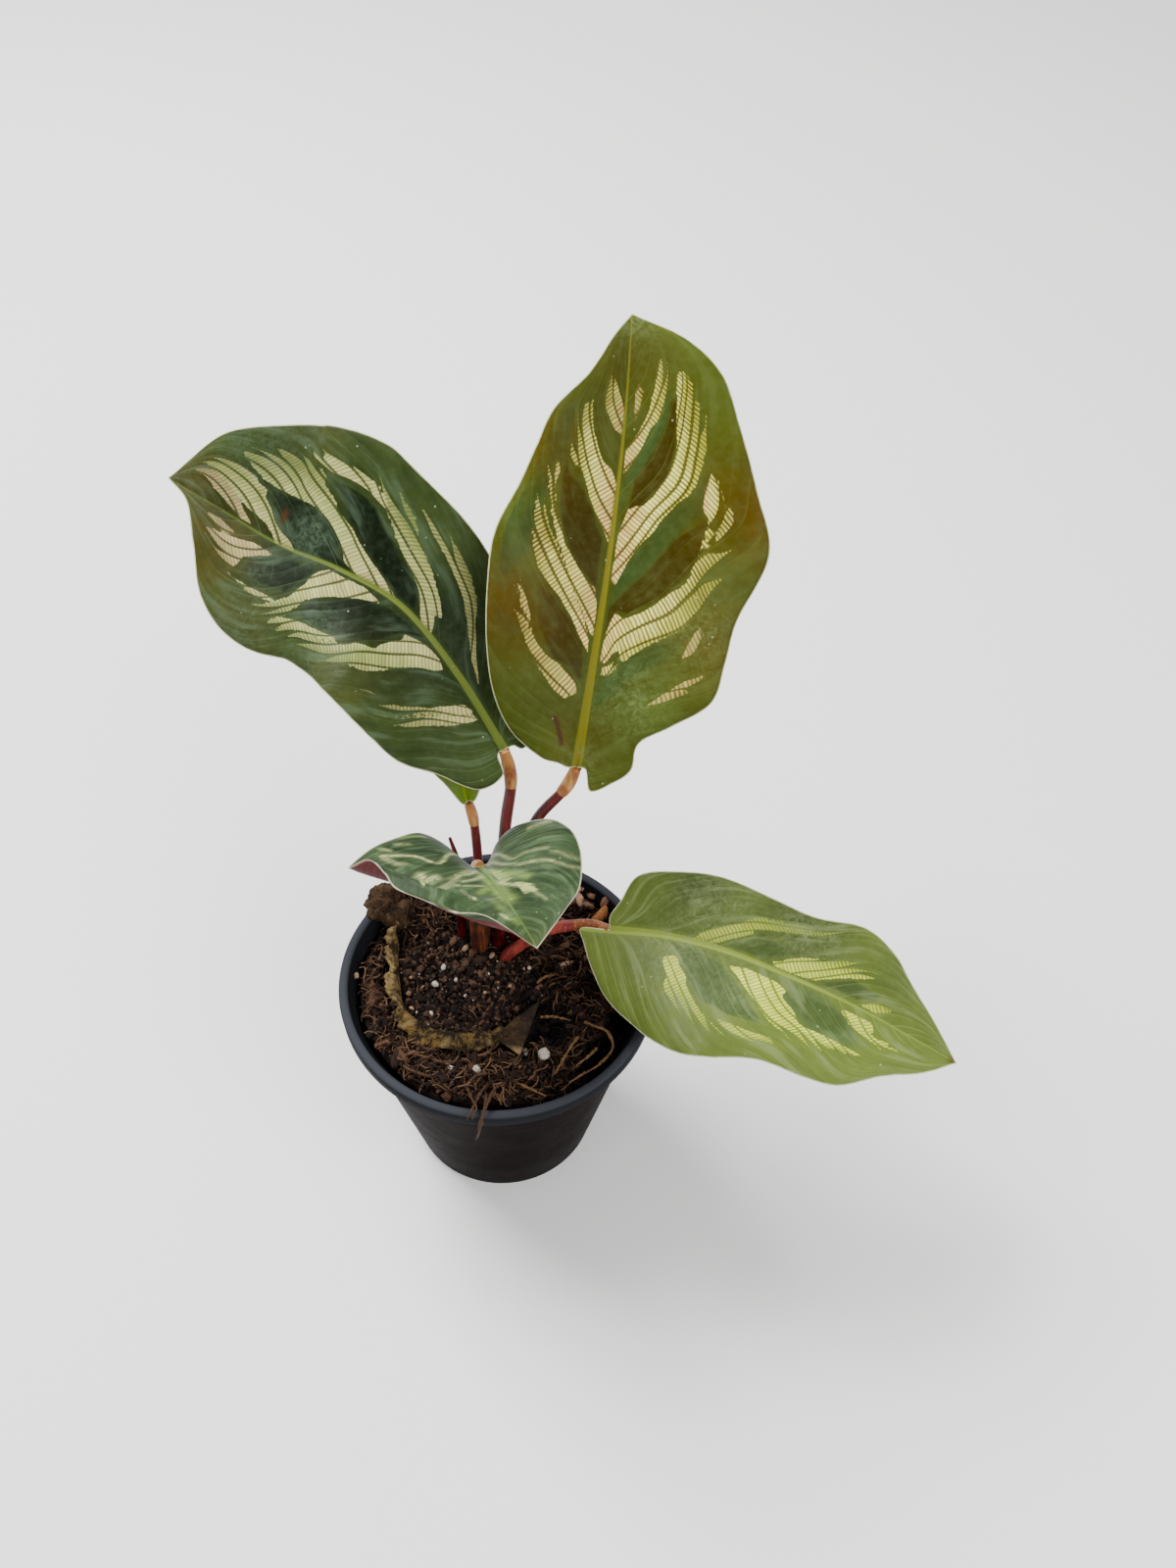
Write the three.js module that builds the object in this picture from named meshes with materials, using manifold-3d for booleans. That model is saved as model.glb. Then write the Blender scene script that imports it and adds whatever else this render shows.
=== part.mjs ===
// A potted peacock plant: five patterned leaves on red stems, growing from a plug of soil in a
// small black nursery pot. Millimetres, +Z up, origin on the underside of the pot at its centre.
import * as THREE from "three";
import { mergeVertices } from "three/addons/utils/BufferGeometryUtils.js";
import Module from "manifold-3d";

const wasm = await Module();
wasm.setup();

// Driving dimensions
const GAP = 0.3;
const POT = {
  rimRadius: 30,
  height: 48,
  baseRadius: 18.5,
  wallTopRadius: 27.9,
  wall: 1,
  floor: 1.4,
  lipHeight: 3.6,
  mouthRadius: 28.2,
  sides: 48,
};
const DRAIN = { radius: 2.2, ring: 12, count: 6 };
const SOIL = { level: 44.8, rings: 12, sectors: 48, seed: 7 };
// The soil's two kinds of roughness, as the width of a lump and its height
const LUMPS = { width: 3.1, height: 0.9 };
const CRUMBS = { width: 1.3, height: 0.4 };
const STEM = { holeDepth: 0.4, sides: 10, steps: 14, jointTaper: 0.12 };
const BLADE = { thickness: 0.7, ribDepth: 0.7, ribWidth: 1.4 };
const WRAP = {
  thickness: 0.8,
  bottom: 40,
  crease: 43.6,
  top: 46.8,
  ragged: 1.3,
  lean: 0.12,
  flare: 0.7,
  flareFrom: 0.12,
  flareTo: 0.45,
  crinkle: 0.28,
  samples: 44,
};

// Colours, with the roughness each surface has
const FINISH = {
  pot: { color: 0x1c1b1e, roughness: 0.45 },
  soil: { color: 0x35241a, roughness: 0.95 },
  wrap: { color: 0x9c8250, roughness: 0.9 },
  sheath: { color: 0x7c3f1d, roughness: 0.7 },
  petiole: { color: 0x571a1c, roughness: 0.45 },
  pulvinus: { color: 0xb08a4c, roughness: 0.5 },
  bluishLeaf: { color: 0x3f5a4a, roughness: 0.35 },
  oliveLeaf: { color: 0x66743c, roughness: 0.4 },
  greyLeaf: { color: 0x5f7a5a, roughness: 0.4 },
  limeLeaf: { color: 0x768c48, roughness: 0.4 },
};

// The leaves. A spine runs along the midrib from the base of the blade to its tip. Each margin
// point is [distance along the midrib, distance out from it, lift above the blade's plane], and
// each fold is the angle by which a half rises. face points to the side that the upper face
// looks to, and roll turns the blade about its midrib, in degrees, from base to tip. grid is the
// number of steps along the blade and across each half.
const LEAVES = {
  left: {
    finish: "bluishLeaf",
    grid: [22, 6],
    spine: [
      [1.5, 15.5, 94.3], [-6.7, 24.6, 103.4], [-16.3, 31.7, 112.5], [-27.4, 37, 116],
      [-38.5, 42.8, 116.3], [-49, 48.6, 118.8], [-59.1, 53.9, 121.5],
    ],
    face: [0.05, -0.72, 0.69],
    roll: [-20, -16, -8, 0, 0, 0, 0],
    fold: { left: 10, right: 10 },
    camber: 1,
    wave: { cycles: 2.5, height: 1.5, leftPhase: 0, rightPhase: 0.2 },
    right: [
      [-0.2, 1.7], [-1.5, 3.4], [0, 8], [6, 13], [14, 15.5], [24, 16],
      [34, 19.3], [43, 22.9], [52, 22.6], [60, 20.8], [67.5, 16.5], [74.5, 11],
    ],
    left: [
      [-0.2, 1.7], [-3.6, 3], [-3.5, 8], [2, 12.7], [8, 18.3], [18, 20],
      [31, 20], [43, 18.2], [54, 19], [62, 15.2], [68.5, 8], [74, 2],
    ],
  },
  top: {
    finish: "oliveLeaf",
    grid: [22, 6],
    spine: [
      [14.1, 13.2, 92.9], [16.3, 23.1, 105.4], [18.4, 34.1, 116.8], [20, 45.5, 126.8],
      [21.2, 57, 136.7], [21.9, 68.9, 146.9],
    ],
    face: [0, -0.74, 0.67],
    roll: [0, 0],
    fold: { left: 20, right: 6 },
    camber: 1,
    wave: { cycles: 2.5, height: 1.2, leftPhase: 0, rightPhase: 0.2 },
    right: [
      [-0.2, 1.7], [-3.8, 3], [-2, 6.5], [1, 9.5], [6, 10], [10, 15], [15, 21],
      [22, 22.3], [29, 23.2], [40, 27], [50, 23.6], [60, 19.6], [68.5, 15.8], [74.5, 9.2],
    ],
    left: [
      [-0.1, 1.7], [0.5, 3.4], [1.2, 7], [5, 12.8], [11, 16.8], [19, 19.3], [28, 20.6],
      [37, 20.7], [46, 17.6], [53, 15.4], [60, 12.8], [67, 7], [74, 3],
    ],
  },
  front: {
    finish: "greyLeaf",
    grid: [20, 5],
    spine: [[-2.1, 0, 81.4], [0.6, -8, 87.8], [3.4, -16, 93.4], [6.3, -24, 98.2], [9.1, -31, 101.2]],
    face: [-0.13, 0.5, 0.86],
    roll: [0, 0],
    fold: { left: 0, right: 0 },
    camber: -0.5,
    wave: { cycles: 2, height: 0, leftPhase: 0, rightPhase: 0 },
    right: [
      [-0.3, 1.6, 0.2], [-4.4, 2.8, 0.5], [-4.5, 5, 4], [-3.5, 9, 7], [-1, 13.5, 7.5],
      [1, 18, 7], [4, 22.5, 5.2], [9, 19.4, 7.2], [12, 17.5, 5.2], [15, 16.5, 3.5],
      [20, 13, 2.5], [24, 9.5, 1.2], [30, 5, 2],
    ],
    left: [
      [-0.3, 1.6, 0.4], [-2, 3.6, 2.8], [-2.5, 6.5, 4.8], [-0.5, 9.5, 6], [3.5, 12.5, 6.7],
      [8, 14, 6.4], [12, 14.7, 5.4], [16.2, 14.4, 3.5], [21, 13, 2], [27, 10.5, 1.3],
      [33, 6.2, 1.4],
    ],
  },
  right: {
    finish: "limeLeaf",
    grid: [20, 5],
    spine: [
      [20.8, 4, 58.1], [31, 2, 59.5], [42, -1.5, 60], [52.5, -6, 59.5],
      [64, -11, 58], [74, -16, 56], [82.9, -20, 53.3],
    ],
    face: [0.05, -0.35, 0.93],
    roll: [0, 0],
    fold: { left: 26, right: 5 },
    camber: 1,
    wave: { cycles: 2, height: 0.8, leftPhase: 0, rightPhase: 0.2 },
    right: [
      [-5.3, 0.2], [-4.5, 3], [-1.5, 9], [3, 15], [10, 19], [19, 21.3], [27, 20.3],
      [35, 17], [44, 16.2], [51, 14.5], [57, 9], [63, 4.8],
    ],
    left: [
      [0, 2.5], [2, 5.5], [5, 10.5], [11, 12.3], [18, 13.1], [27, 12], [35, 11.6],
      [43, 13.4], [49, 11.8], [54, 8.6], [60, 5],
    ],
  },
  young: {
    finish: "limeLeaf",
    grid: [12, 4],
    spine: [[-5.3, 16, 80], [-7.5, 21, 86.5], [-10, 27, 92.5], [-12.5, 33.5, 98], [-15, 40, 101.5]],
    face: [0, -0.45, 0.9],
    roll: [10, 10],
    fold: { left: 50, right: 12 },
    camber: 1,
    wave: { cycles: 2, height: 0.8, leftPhase: 0, rightPhase: 0.2 },
    right: [[0, 1.5], [4, 4.2], [10, 8], [18, 10.5], [27, 8]],
    left: [[0, 1.5], [4, 4.2], [10, 8], [18, 9.5], [27, 7]],
  },
};

// The stems, from below the soil to the foot of each blade. The red stalk turns to the yellow
// swollen joint at the height named collar.
const STEMS = {
  left: {
    radius: 1.1,
    jointRadius: 1.15,
    collar: 86.5,
    points: [
      [-0.6, 9.2, 36], [-0.4, 9.6, 45], [0, 10.4, 56], [0.7, 11.3, 68], [1.6, 12.8, 78.6],
      [2.6, 14, 86.7], [2.3, 14.8, 91], [1.5, 15.5, 94.3],
    ],
  },
  top: {
    radius: 1,
    jointRadius: 1.15,
    collar: 86.2,
    points: [
      [2.3, 11.4, 36], [2.4, 11.6, 45], [2.6, 11.9, 56], [4.2, 12.4, 67], [6.9, 12.8, 78.5],
      [11.6, 13, 86.4], [13, 13.1, 89.3], [14.1, 13.2, 92.9],
    ],
  },
  front: {
    radius: 0.95,
    jointRadius: 1.05,
    collar: 75,
    points: [
      [-4.6, 8.8, 36], [-4.4, 8.6, 45], [-3.9, 8.4, 56], [-3.7, 7, 67], [-3.3, 4.4, 75],
      [-2.8, 1.9, 79.2], [-2.1, 0, 81.2],
    ],
  },
  right: {
    radius: 1.15,
    jointRadius: 1.1,
    collar: 55.8,
    points: [
      [0.6, 6.8, 38], [1.2, 6.4, 45.4], [4.2, 6.4, 49.4], [9, 6.6, 53.9], [13.5, 6.6, 55.6],
      [17.5, 6.1, 56.1], [20.6, 4.7, 56.5],
    ],
  },
  young: {
    radius: 0.9,
    jointRadius: 1,
    collar: 74.5,
    points: [
      [-3.6, 12.2, 36], [-3.6, 12.4, 45], [-4.1, 13.2, 56], [-4, 14, 64.5], [-4.4, 15.2, 74.5],
      [-5.2, 15.7, 79.5],
    ],
  },
};
const SHOOT = {
  radius: 0.95,
  tipRadius: 0.35,
  points: [[-7.5, 11, 36], [-7.6, 11.4, 45], [-7.6, 12.2, 56], [-7.7, 12.9, 66], [-8.8, 13.2, 72.7]],
};
const SHEATH = {
  bottom: 41,
  top: 57,
  center: [-4.1, 10.4],
  spread: [2, 3.9],
  foot: 0.8,
  ragged: 1.6,
  steps: 4,
  sides: 14,
};

// The torn paper sleeve of the plug, as a path in plan, and the scrap folded out of its end
const WRAP_PATH = [
  [-20.3, 13.4], [-21.2, 9.6], [-21, 5.2], [-20.2, -0.1], [-19.2, -4.5], [-17.1, -8.7],
  [-13.5, -11.8], [-9.8, -13], [-6.2, -13.3], [-0.8, -12.6], [1.8, -10.4],
];
const WRAP_SCRAP = [[-0.6, -11.9, 45.4], [8, -4.2, 46], [4.8, -15.6, 45.6]];

// Bumps and hollows of the soil: [x, y, reach, rise]
const SOIL_FORMS = [
  [-21, 15.5, 4, 3], [-2, -22.5, 6, 1.8], [-16, -18, 8, 1.2], [-24, -4, 5, 1],
  [9.5, -7.5, 4, -4.5], [21, -15.5, 7, -5], [24.5, -6, 4, -3], [2, 2, 8, 0.6],
  [19, 15, 9, 1], [-12, 2, 9, -0.8],
];
// The lumps of soil heaped on the rim at the back left: [x, y, z, radius]
const HEAP = [
  [-20.6, 15, 46.9, 3.4], [-23.4, 16.4, 49, 3], [-21.3, 18, 49.6, 2.3], [-24.2, 13.8, 48.6, 1.9],
  [-22.6, 16.8, 51.2, 1.7],
];
// The largest grains of perlite and bark: [x, y, radius]
const GRAINS = [
  [10.1, -15.2, 1.7], [5.9, -12.6, 1], [3.8, -3.6, 0.7], [-16.8, -1.1, 0.9], [-12.9, 1.2, 0.9],
  [-10.9, 4.7, 0.8], [-9.4, 9.6, 0.9], [-6.6, 5.4, 0.9], [-26, 1.3, 0.8], [16.5, 19, 1.6],
  [20, 14.5, 1.5], [12.5, 21, 1.3], [-6, -20, 0.9], [13.4, -17.6, 0.8], [22, 9, 1.2],
];
const GRAIN_COUNT = 12;
// Coir fibres that stand out of the soil, each as the points it passes through
const FIBRES = [
  [[-3, -22, 45], [-1.4, -26, 48.6], [-1.2, -29.4, 49.2], [-1.6, -31.3, 46.6], [-2.4, -31, 41.5]],
  [[2, -20, 45], [-0.8, -25, 48.9], [-3.4, -29.2, 49], [-5.2, -30.9, 48.9]],
  [[-6, -19, 44.5], [-1, -17, 47.8], [4, -19.5, 44.5]],
  [[12, -19.5, 44], [17.4, -19.5, 46.2], [19, -14, 44]],
  [[10, -1, 44], [16, -3.5, 47], [22, -3, 44]],
  [[20, -12, 41], [23.6, -7.5, 46.4], [22, -1, 44]],
  [[-18, -17, 45], [-14.5, -20.5, 47.4], [-9, -21, 45]],
];
const FIBRE = { radius: 0.38, sides: 4, steps: 7 };

const UP = new THREE.Vector3(0, 0, 1);
const plant = new THREE.Group();

function vector(point) {
  return new THREE.Vector3(...point);
}

function lerpList(values, t) {
  const x = THREE.MathUtils.clamp(t, 0, 1) * (values.length - 1);
  const i = Math.min(Math.floor(x), values.length - 2);
  return THREE.MathUtils.lerp(values[i], values[i + 1], x - i);
}

// A repeatable stream of numbers from 0 to 1
function seededRandom(seed) {
  let state = seed;
  return () => {
    state = (state * 1664525 + 1013904223) % 4294967296;
    return state / 4294967296;
  };
}

// Smooth noise from -1 to 1 over the plane
function noise(x, y) {
  const corner = (i, j) => {
    const wave = Math.sin(i * 127.1 + j * 311.7) * 43758.5453;
    return 2 * (wave - Math.floor(wave)) - 1;
  };
  const i = Math.floor(x);
  const j = Math.floor(y);
  const u = THREE.MathUtils.smoothstep(x - i, 0, 1);
  const v = THREE.MathUtils.smoothstep(y - j, 0, 1);
  const low = THREE.MathUtils.lerp(corner(i, j), corner(i + 1, j), u);
  const high = THREE.MathUtils.lerp(corner(i, j + 1), corner(i + 1, j + 1), u);
  return THREE.MathUtils.lerp(low, high, v);
}

function toSolid(geometry) {
  const bare = geometry.clone();
  bare.deleteAttribute("normal");
  bare.deleteAttribute("uv");
  const merged = mergeVertices(bare, 1e-4);
  return new wasm.Manifold(new wasm.Mesh({
    numProp: 3,
    vertProperties: merged.attributes.position.array,
    triVerts: new Uint32Array(merged.index.array),
  }));
}

function toGeometry(solid) {
  const mesh = solid.getMesh();
  const geometry = new THREE.BufferGeometry();
  geometry.setAttribute("position", new THREE.BufferAttribute(mesh.vertProperties, 3));
  geometry.setIndex(new THREE.BufferAttribute(mesh.triVerts, 1));
  return geometry.toNonIndexed();
}

// The largest body of a solid, without the loose scraps that a cut may leave
function mainBody(solid) {
  return solid.decompose().reduce((a, b) => (a.volume() > b.volume() ? a : b));
}

function facesGeometry(points, triangles) {
  const geometry = new THREE.BufferGeometry().setFromPoints(points);
  geometry.setIndex(triangles);
  return geometry;
}

function addNode(name, geometry, finish) {
  geometry.computeVertexNormals();
  const material = new THREE.MeshStandardMaterial({ metalness: 0, ...FINISH[finish] });
  const mesh = new THREE.Mesh(geometry, material);
  mesh.name = name;
  plant.add(mesh);
}

// A closed tube round a curve, with its own radius at each place
function taperedTube(points, radiusAt, steps, sides) {
  const curve = new THREE.CatmullRomCurve3(points.map(vector), false, "catmullrom", 0.5);
  const frames = curve.computeFrenetFrames(steps, false);
  const rings = [];
  for (let i = 0; i <= steps; i += 1) {
    const center = curve.getPointAt(i / steps);
    const radius = radiusAt(i / steps, center);
    for (let j = 0; j < sides; j += 1) {
      const angle = (2 * Math.PI * j) / sides;
      const out = frames.normals[i].clone().multiplyScalar(Math.cos(angle) * radius);
      out.addScaledVector(frames.binormals[i], Math.sin(angle) * radius);
      rings.push(center.clone().add(out));
    }
  }
  const first = rings.length;
  rings.push(curve.getPointAt(0), curve.getPointAt(1));
  const triangles = [];
  for (let j = 0; j < sides; j += 1) {
    const next = (j + 1) % sides;
    for (let i = 0; i < steps; i += 1) {
      const a = i * sides + j;
      const b = i * sides + next;
      triangles.push(a, b, a + sides, b, b + sides, a + sides);
    }
    triangles.push(first, next, j);
    triangles.push(first + 1, steps * sides + j, steps * sides + next);
  }
  return facesGeometry(rings, triangles);
}

// The radius of the pot's inner face at a height
function innerRadius(z) {
  const lipBottom = POT.height - POT.lipHeight;
  const low = POT.baseRadius - POT.wall;
  return THREE.MathUtils.mapLinear(z, 0, lipBottom, low, POT.wallTopRadius - POT.wall);
}

// The pot's wall and rolled lip, turned round its axis, with every face moved out by grow
function potShell(grow) {
  const lipBottom = POT.height - POT.lipHeight;
  const profile = [
    [0, -grow],
    [POT.baseRadius - 0.6, -grow],
    [POT.baseRadius + grow, 0.6],
    [POT.wallTopRadius + grow, lipBottom - grow],
    [POT.rimRadius - 0.7, lipBottom - grow],
    [POT.rimRadius - 0.2 + grow, lipBottom + 0.5],
    [POT.rimRadius + grow, POT.height - 1.1],
    [POT.rimRadius - 0.3 + grow, POT.height - 0.3 + grow],
    [POT.rimRadius - 0.9, POT.height + grow],
    [POT.mouthRadius + 0.3 - grow, POT.height + grow],
    [POT.mouthRadius - grow, POT.height - 0.8],
    [innerRadius(lipBottom) - grow, lipBottom],
    [innerRadius(POT.floor) - grow, POT.floor + grow],
    [0, POT.floor + grow],
  ];
  const shell = new THREE.LatheGeometry(profile.map((p) => new THREE.Vector2(...p)), POT.sides);
  shell.rotateX(Math.PI / 2);
  return toSolid(shell);
}

function potSolid() {
  let solid = potShell(0);
  for (let i = 0; i < DRAIN.count; i += 1) {
    const angle = (2 * Math.PI * i) / DRAIN.count;
    const drill = new THREE.CylinderGeometry(DRAIN.radius, DRAIN.radius, 4 * POT.floor, 16);
    drill.rotateX(Math.PI / 2);
    drill.translate(DRAIN.ring * Math.cos(angle), DRAIN.ring * Math.sin(angle), 0);
    solid = solid.subtract(toSolid(drill));
  }
  return solid;
}

// Soil
function soilHeight(x, y) {
  let z = SOIL.level + LUMPS.height * noise(x / LUMPS.width, y / LUMPS.width);
  z += CRUMBS.height * noise(x / CRUMBS.width + 9, y / CRUMBS.width);
  for (const [cx, cy, reach, rise] of SOIL_FORMS) {
    z += rise * Math.exp(-((x - cx) ** 2 + (y - cy) ** 2) / reach ** 2);
  }
  return z;
}

function soilBed() {
  const bottom = POT.floor + GAP;
  const topRadius = innerRadius(SOIL.level - 3) - GAP;
  const points = [new THREE.Vector3(0, 0, soilHeight(0, 0))];
  for (let i = 1; i <= SOIL.rings; i += 1) {
    const radius = (topRadius * i) / SOIL.rings;
    for (let j = 0; j < SOIL.sectors; j += 1) {
      const angle = (2 * Math.PI * j) / SOIL.sectors;
      const x = radius * Math.cos(angle);
      const y = radius * Math.sin(angle);
      points.push(new THREE.Vector3(x, y, soilHeight(x, y)));
    }
  }
  const lowRing = points.length;
  for (let j = 0; j < SOIL.sectors; j += 1) {
    const angle = (2 * Math.PI * j) / SOIL.sectors;
    const low = innerRadius(bottom) - GAP;
    points.push(new THREE.Vector3(low * Math.cos(angle), low * Math.sin(angle), bottom));
  }
  const foot = points.length;
  points.push(new THREE.Vector3(0, 0, bottom));
  const triangles = [];
  const rim = 1 + (SOIL.rings - 1) * SOIL.sectors;
  for (let j = 0; j < SOIL.sectors; j += 1) {
    const next = (j + 1) % SOIL.sectors;
    triangles.push(0, 1 + j, 1 + next);
    for (let i = 0; i < SOIL.rings - 1; i += 1) {
      const a = 1 + i * SOIL.sectors + j;
      const b = 1 + i * SOIL.sectors + next;
      triangles.push(a, a + SOIL.sectors, b, b, a + SOIL.sectors, b + SOIL.sectors);
    }
    triangles.push(rim + j, lowRing + j, rim + next, rim + next, lowRing + j, lowRing + next);
    triangles.push(foot, lowRing + next, lowRing + j);
  }
  return toSolid(facesGeometry(points, triangles));
}

function grainSolid(x, y, z, radius, random) {
  const grain = new THREE.IcosahedronGeometry(radius, 0);
  grain.scale(1, 0.75 + 0.4 * random(), 0.7 + 0.3 * random());
  grain.rotateZ(Math.PI * random());
  grain.rotateX(Math.PI * random());
  grain.translate(x, y, z);
  return toSolid(grain);
}

function soilSolid(cutters) {
  const random = seededRandom(SOIL.seed);
  let soil = soilBed();
  for (const [x, y, z, radius] of HEAP) {
    soil = soil.add(grainSolid(x, y, z, radius, random));
  }
  for (const [x, y, radius] of GRAINS) {
    soil = soil.add(grainSolid(x, y, soilHeight(x, y) + 0.2 * radius, radius, random));
  }
  for (let i = 0; i < GRAIN_COUNT; i += 1) {
    const reach = 23 * Math.sqrt(random());
    const angle = 2 * Math.PI * random();
    const x = reach * Math.cos(angle);
    const y = reach * Math.sin(angle);
    const radius = 0.6 + 0.7 * random();
    soil = soil.add(grainSolid(x, y, soilHeight(x, y), radius, random));
  }
  for (const path of FIBRES) {
    soil = soil.add(toSolid(taperedTube(path, () => FIBRE.radius, FIBRE.steps, FIBRE.sides)));
  }
  for (const cutter of cutters) {
    soil = soil.subtract(cutter);
  }
  return mainBody(soil);
}

// Paper sleeve of the plug
// A strip that stands upright below the crease, leans to and fro above it and flares outward
// towards the front
function wrapStrip(thickness, bottom, top, longer) {
  const plan = WRAP_PATH.map(([x, y]) => new THREE.Vector3(x, y, 0));
  const curve = new THREE.CatmullRomCurve3(plan, false, "catmullrom", 0.5);
  const levels = [0, 1, 2];
  const points = [];
  const ring = 2 * levels.length;
  for (let i = 0; i <= WRAP.samples; i += 1) {
    const u = i / WRAP.samples;
    const center = curve.getPointAt(u);
    const along = curve.getTangentAt(u);
    const side = along.clone().cross(UP);
    if (i === 0 || i === WRAP.samples) {
      center.addScaledVector(along, i === 0 ? -longer : longer);
    }
    const heights = [bottom, WRAP.crease, top(i)];
    const flare = WRAP.flare * THREE.MathUtils.smoothstep(u, WRAP.flareFrom, WRAP.flareTo);
    const lean = WRAP.lean + flare + WRAP.crinkle * noise(i / 2.2, 5);
    for (const [sign, order] of [[1, levels], [-1, [...levels].reverse()]]) {
      for (const level of order) {
        const sway = lean * Math.max(0, heights[level] - WRAP.crease);
        const point = center.clone().addScaledVector(side, sway + (sign * thickness) / 2);
        point.z = heights[level];
        points.push(point);
      }
    }
  }
  const triangles = [];
  for (let i = 0; i < WRAP.samples; i += 1) {
    for (let j = 0; j < ring; j += 1) {
      const a = i * ring + j;
      const b = i * ring + ((j + 1) % ring);
      triangles.push(a, a + ring, b, b, a + ring, b + ring);
    }
  }
  const last = WRAP.samples * ring;
  for (const [start, flip] of [[0, false], [last, true]]) {
    for (let j = 0; j < levels.length - 1; j += 1) {
      const a = start + j;
      const b = start + j + 1;
      const c = start + ring - 2 - j;
      const d = start + ring - 1 - j;
      triangles.push(...(flip ? [a, d, b, b, d, c] : [a, b, d, b, c, d]));
    }
  }
  return toSolid(facesGeometry(points, triangles));
}

function scrapSolid(thickness) {
  const [a, b, c] = WRAP_SCRAP.map(vector);
  const normal = b.clone().sub(a).cross(c.clone().sub(a)).normalize();
  const up = normal.z < 0 ? normal.negate() : normal;
  const grow = (thickness - WRAP.thickness) / 2;
  const center = a.clone().add(b).add(c).divideScalar(3);
  const corners = [a, b, c].map((p) => p.clone().add(p.clone().sub(center).setLength(grow)));
  const top = corners.map((p) => p.clone().addScaledVector(up, thickness / 2));
  const low = corners.map((p) => p.clone().addScaledVector(up, -thickness / 2));
  const triangles = [0, 2, 1, 3, 4, 5, 0, 1, 4, 0, 4, 3, 1, 2, 5, 1, 5, 4, 2, 0, 3, 2, 3, 5];
  const solid = facesGeometry([...top, ...low], triangles);
  return toSolid(solid);
}

// Stems
function stemCut(points, radius) {
  const [first, ...rest] = points;
  const lower = [first[0], first[1], first[2] - STEM.holeDepth];
  return toSolid(taperedTube([lower, ...rest], () => radius + GAP, STEM.steps, STEM.sides));
}

function sheathSolid(grow, cutters) {
  const [cx, cy] = SHEATH.center;
  const sides = SHEATH.sides;
  const rings = [];
  for (let i = 0; i <= SHEATH.steps; i += 1) {
    const t = i / SHEATH.steps;
    const z = THREE.MathUtils.lerp(SHEATH.bottom - grow, SHEATH.top, t);
    const girth = THREE.MathUtils.lerp(SHEATH.foot, 1, Math.min(1, 2.5 * t));
    for (let j = 0; j < sides; j += 1) {
      const angle = (2 * Math.PI * j) / sides;
      const ragged = i === SHEATH.steps ? SHEATH.ragged * noise(j / 2, 3) : 0;
      const x = cx + (SHEATH.spread[0] * girth + grow) * Math.cos(angle);
      const y = cy + (SHEATH.spread[1] * girth + grow) * Math.sin(angle);
      rings.push(new THREE.Vector3(x, y, z + ragged));
    }
  }
  const low = rings.length;
  rings.push(new THREE.Vector3(cx, cy, SHEATH.bottom - grow), new THREE.Vector3(cx, cy, SHEATH.top));
  const triangles = [];
  for (let j = 0; j < sides; j += 1) {
    const next = (j + 1) % sides;
    for (let i = 0; i < SHEATH.steps; i += 1) {
      const a = i * sides + j;
      const b = i * sides + next;
      triangles.push(a, b, a + sides, b, b + sides, a + sides);
    }
    triangles.push(low, next, j);
    triangles.push(low + 1, SHEATH.steps * sides + j, SHEATH.steps * sides + next);
  }
  let solid = toSolid(facesGeometry(rings, triangles));
  for (const cutter of cutters) {
    solid = solid.subtract(cutter);
  }
  return mainBody(solid);
}

function stemPieces(stem) {
  const curve = new THREE.CatmullRomCurve3(stem.points.map(vector), false, "catmullrom", 0.5);
  const length = curve.getLength();
  const steps = 60;
  let collar = steps;
  for (let i = steps; i > 0; i -= 1) {
    if (curve.getPointAt(i / steps).z >= stem.collar) {
      collar = i;
    }
  }
  const along = (from, to, count) => Array.from({ length: count }, (_, i) => (
    curve.getPointAt(THREE.MathUtils.lerp(from, to, i / (count - 1))).toArray()
  ));
  const split = collar / steps;
  const gap = GAP / length;
  return {
    petiole: along(0, split, 9),
    pulvinus: along(split + gap, 1 - gap, 5),
  };
}

// Leaf blades
function bladeFrame(leaf, curve, length, u) {
  const inside = THREE.MathUtils.clamp(u, 0, length);
  const along = curve.getTangentAt(inside / length);
  const place = curve.getPointAt(inside / length).addScaledVector(along, u - inside);
  const flatOut = along.clone().cross(vector(leaf.face)).normalize();
  const flatUp = flatOut.clone().cross(along);
  const roll = THREE.MathUtils.degToRad(lerpList(leaf.roll, inside / length));
  const out = flatOut.clone().multiplyScalar(Math.cos(roll)).addScaledVector(flatUp, Math.sin(roll));
  const up = flatUp.multiplyScalar(Math.cos(roll)).addScaledVector(flatOut, -Math.sin(roll));
  return { place, out, up };
}

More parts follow.
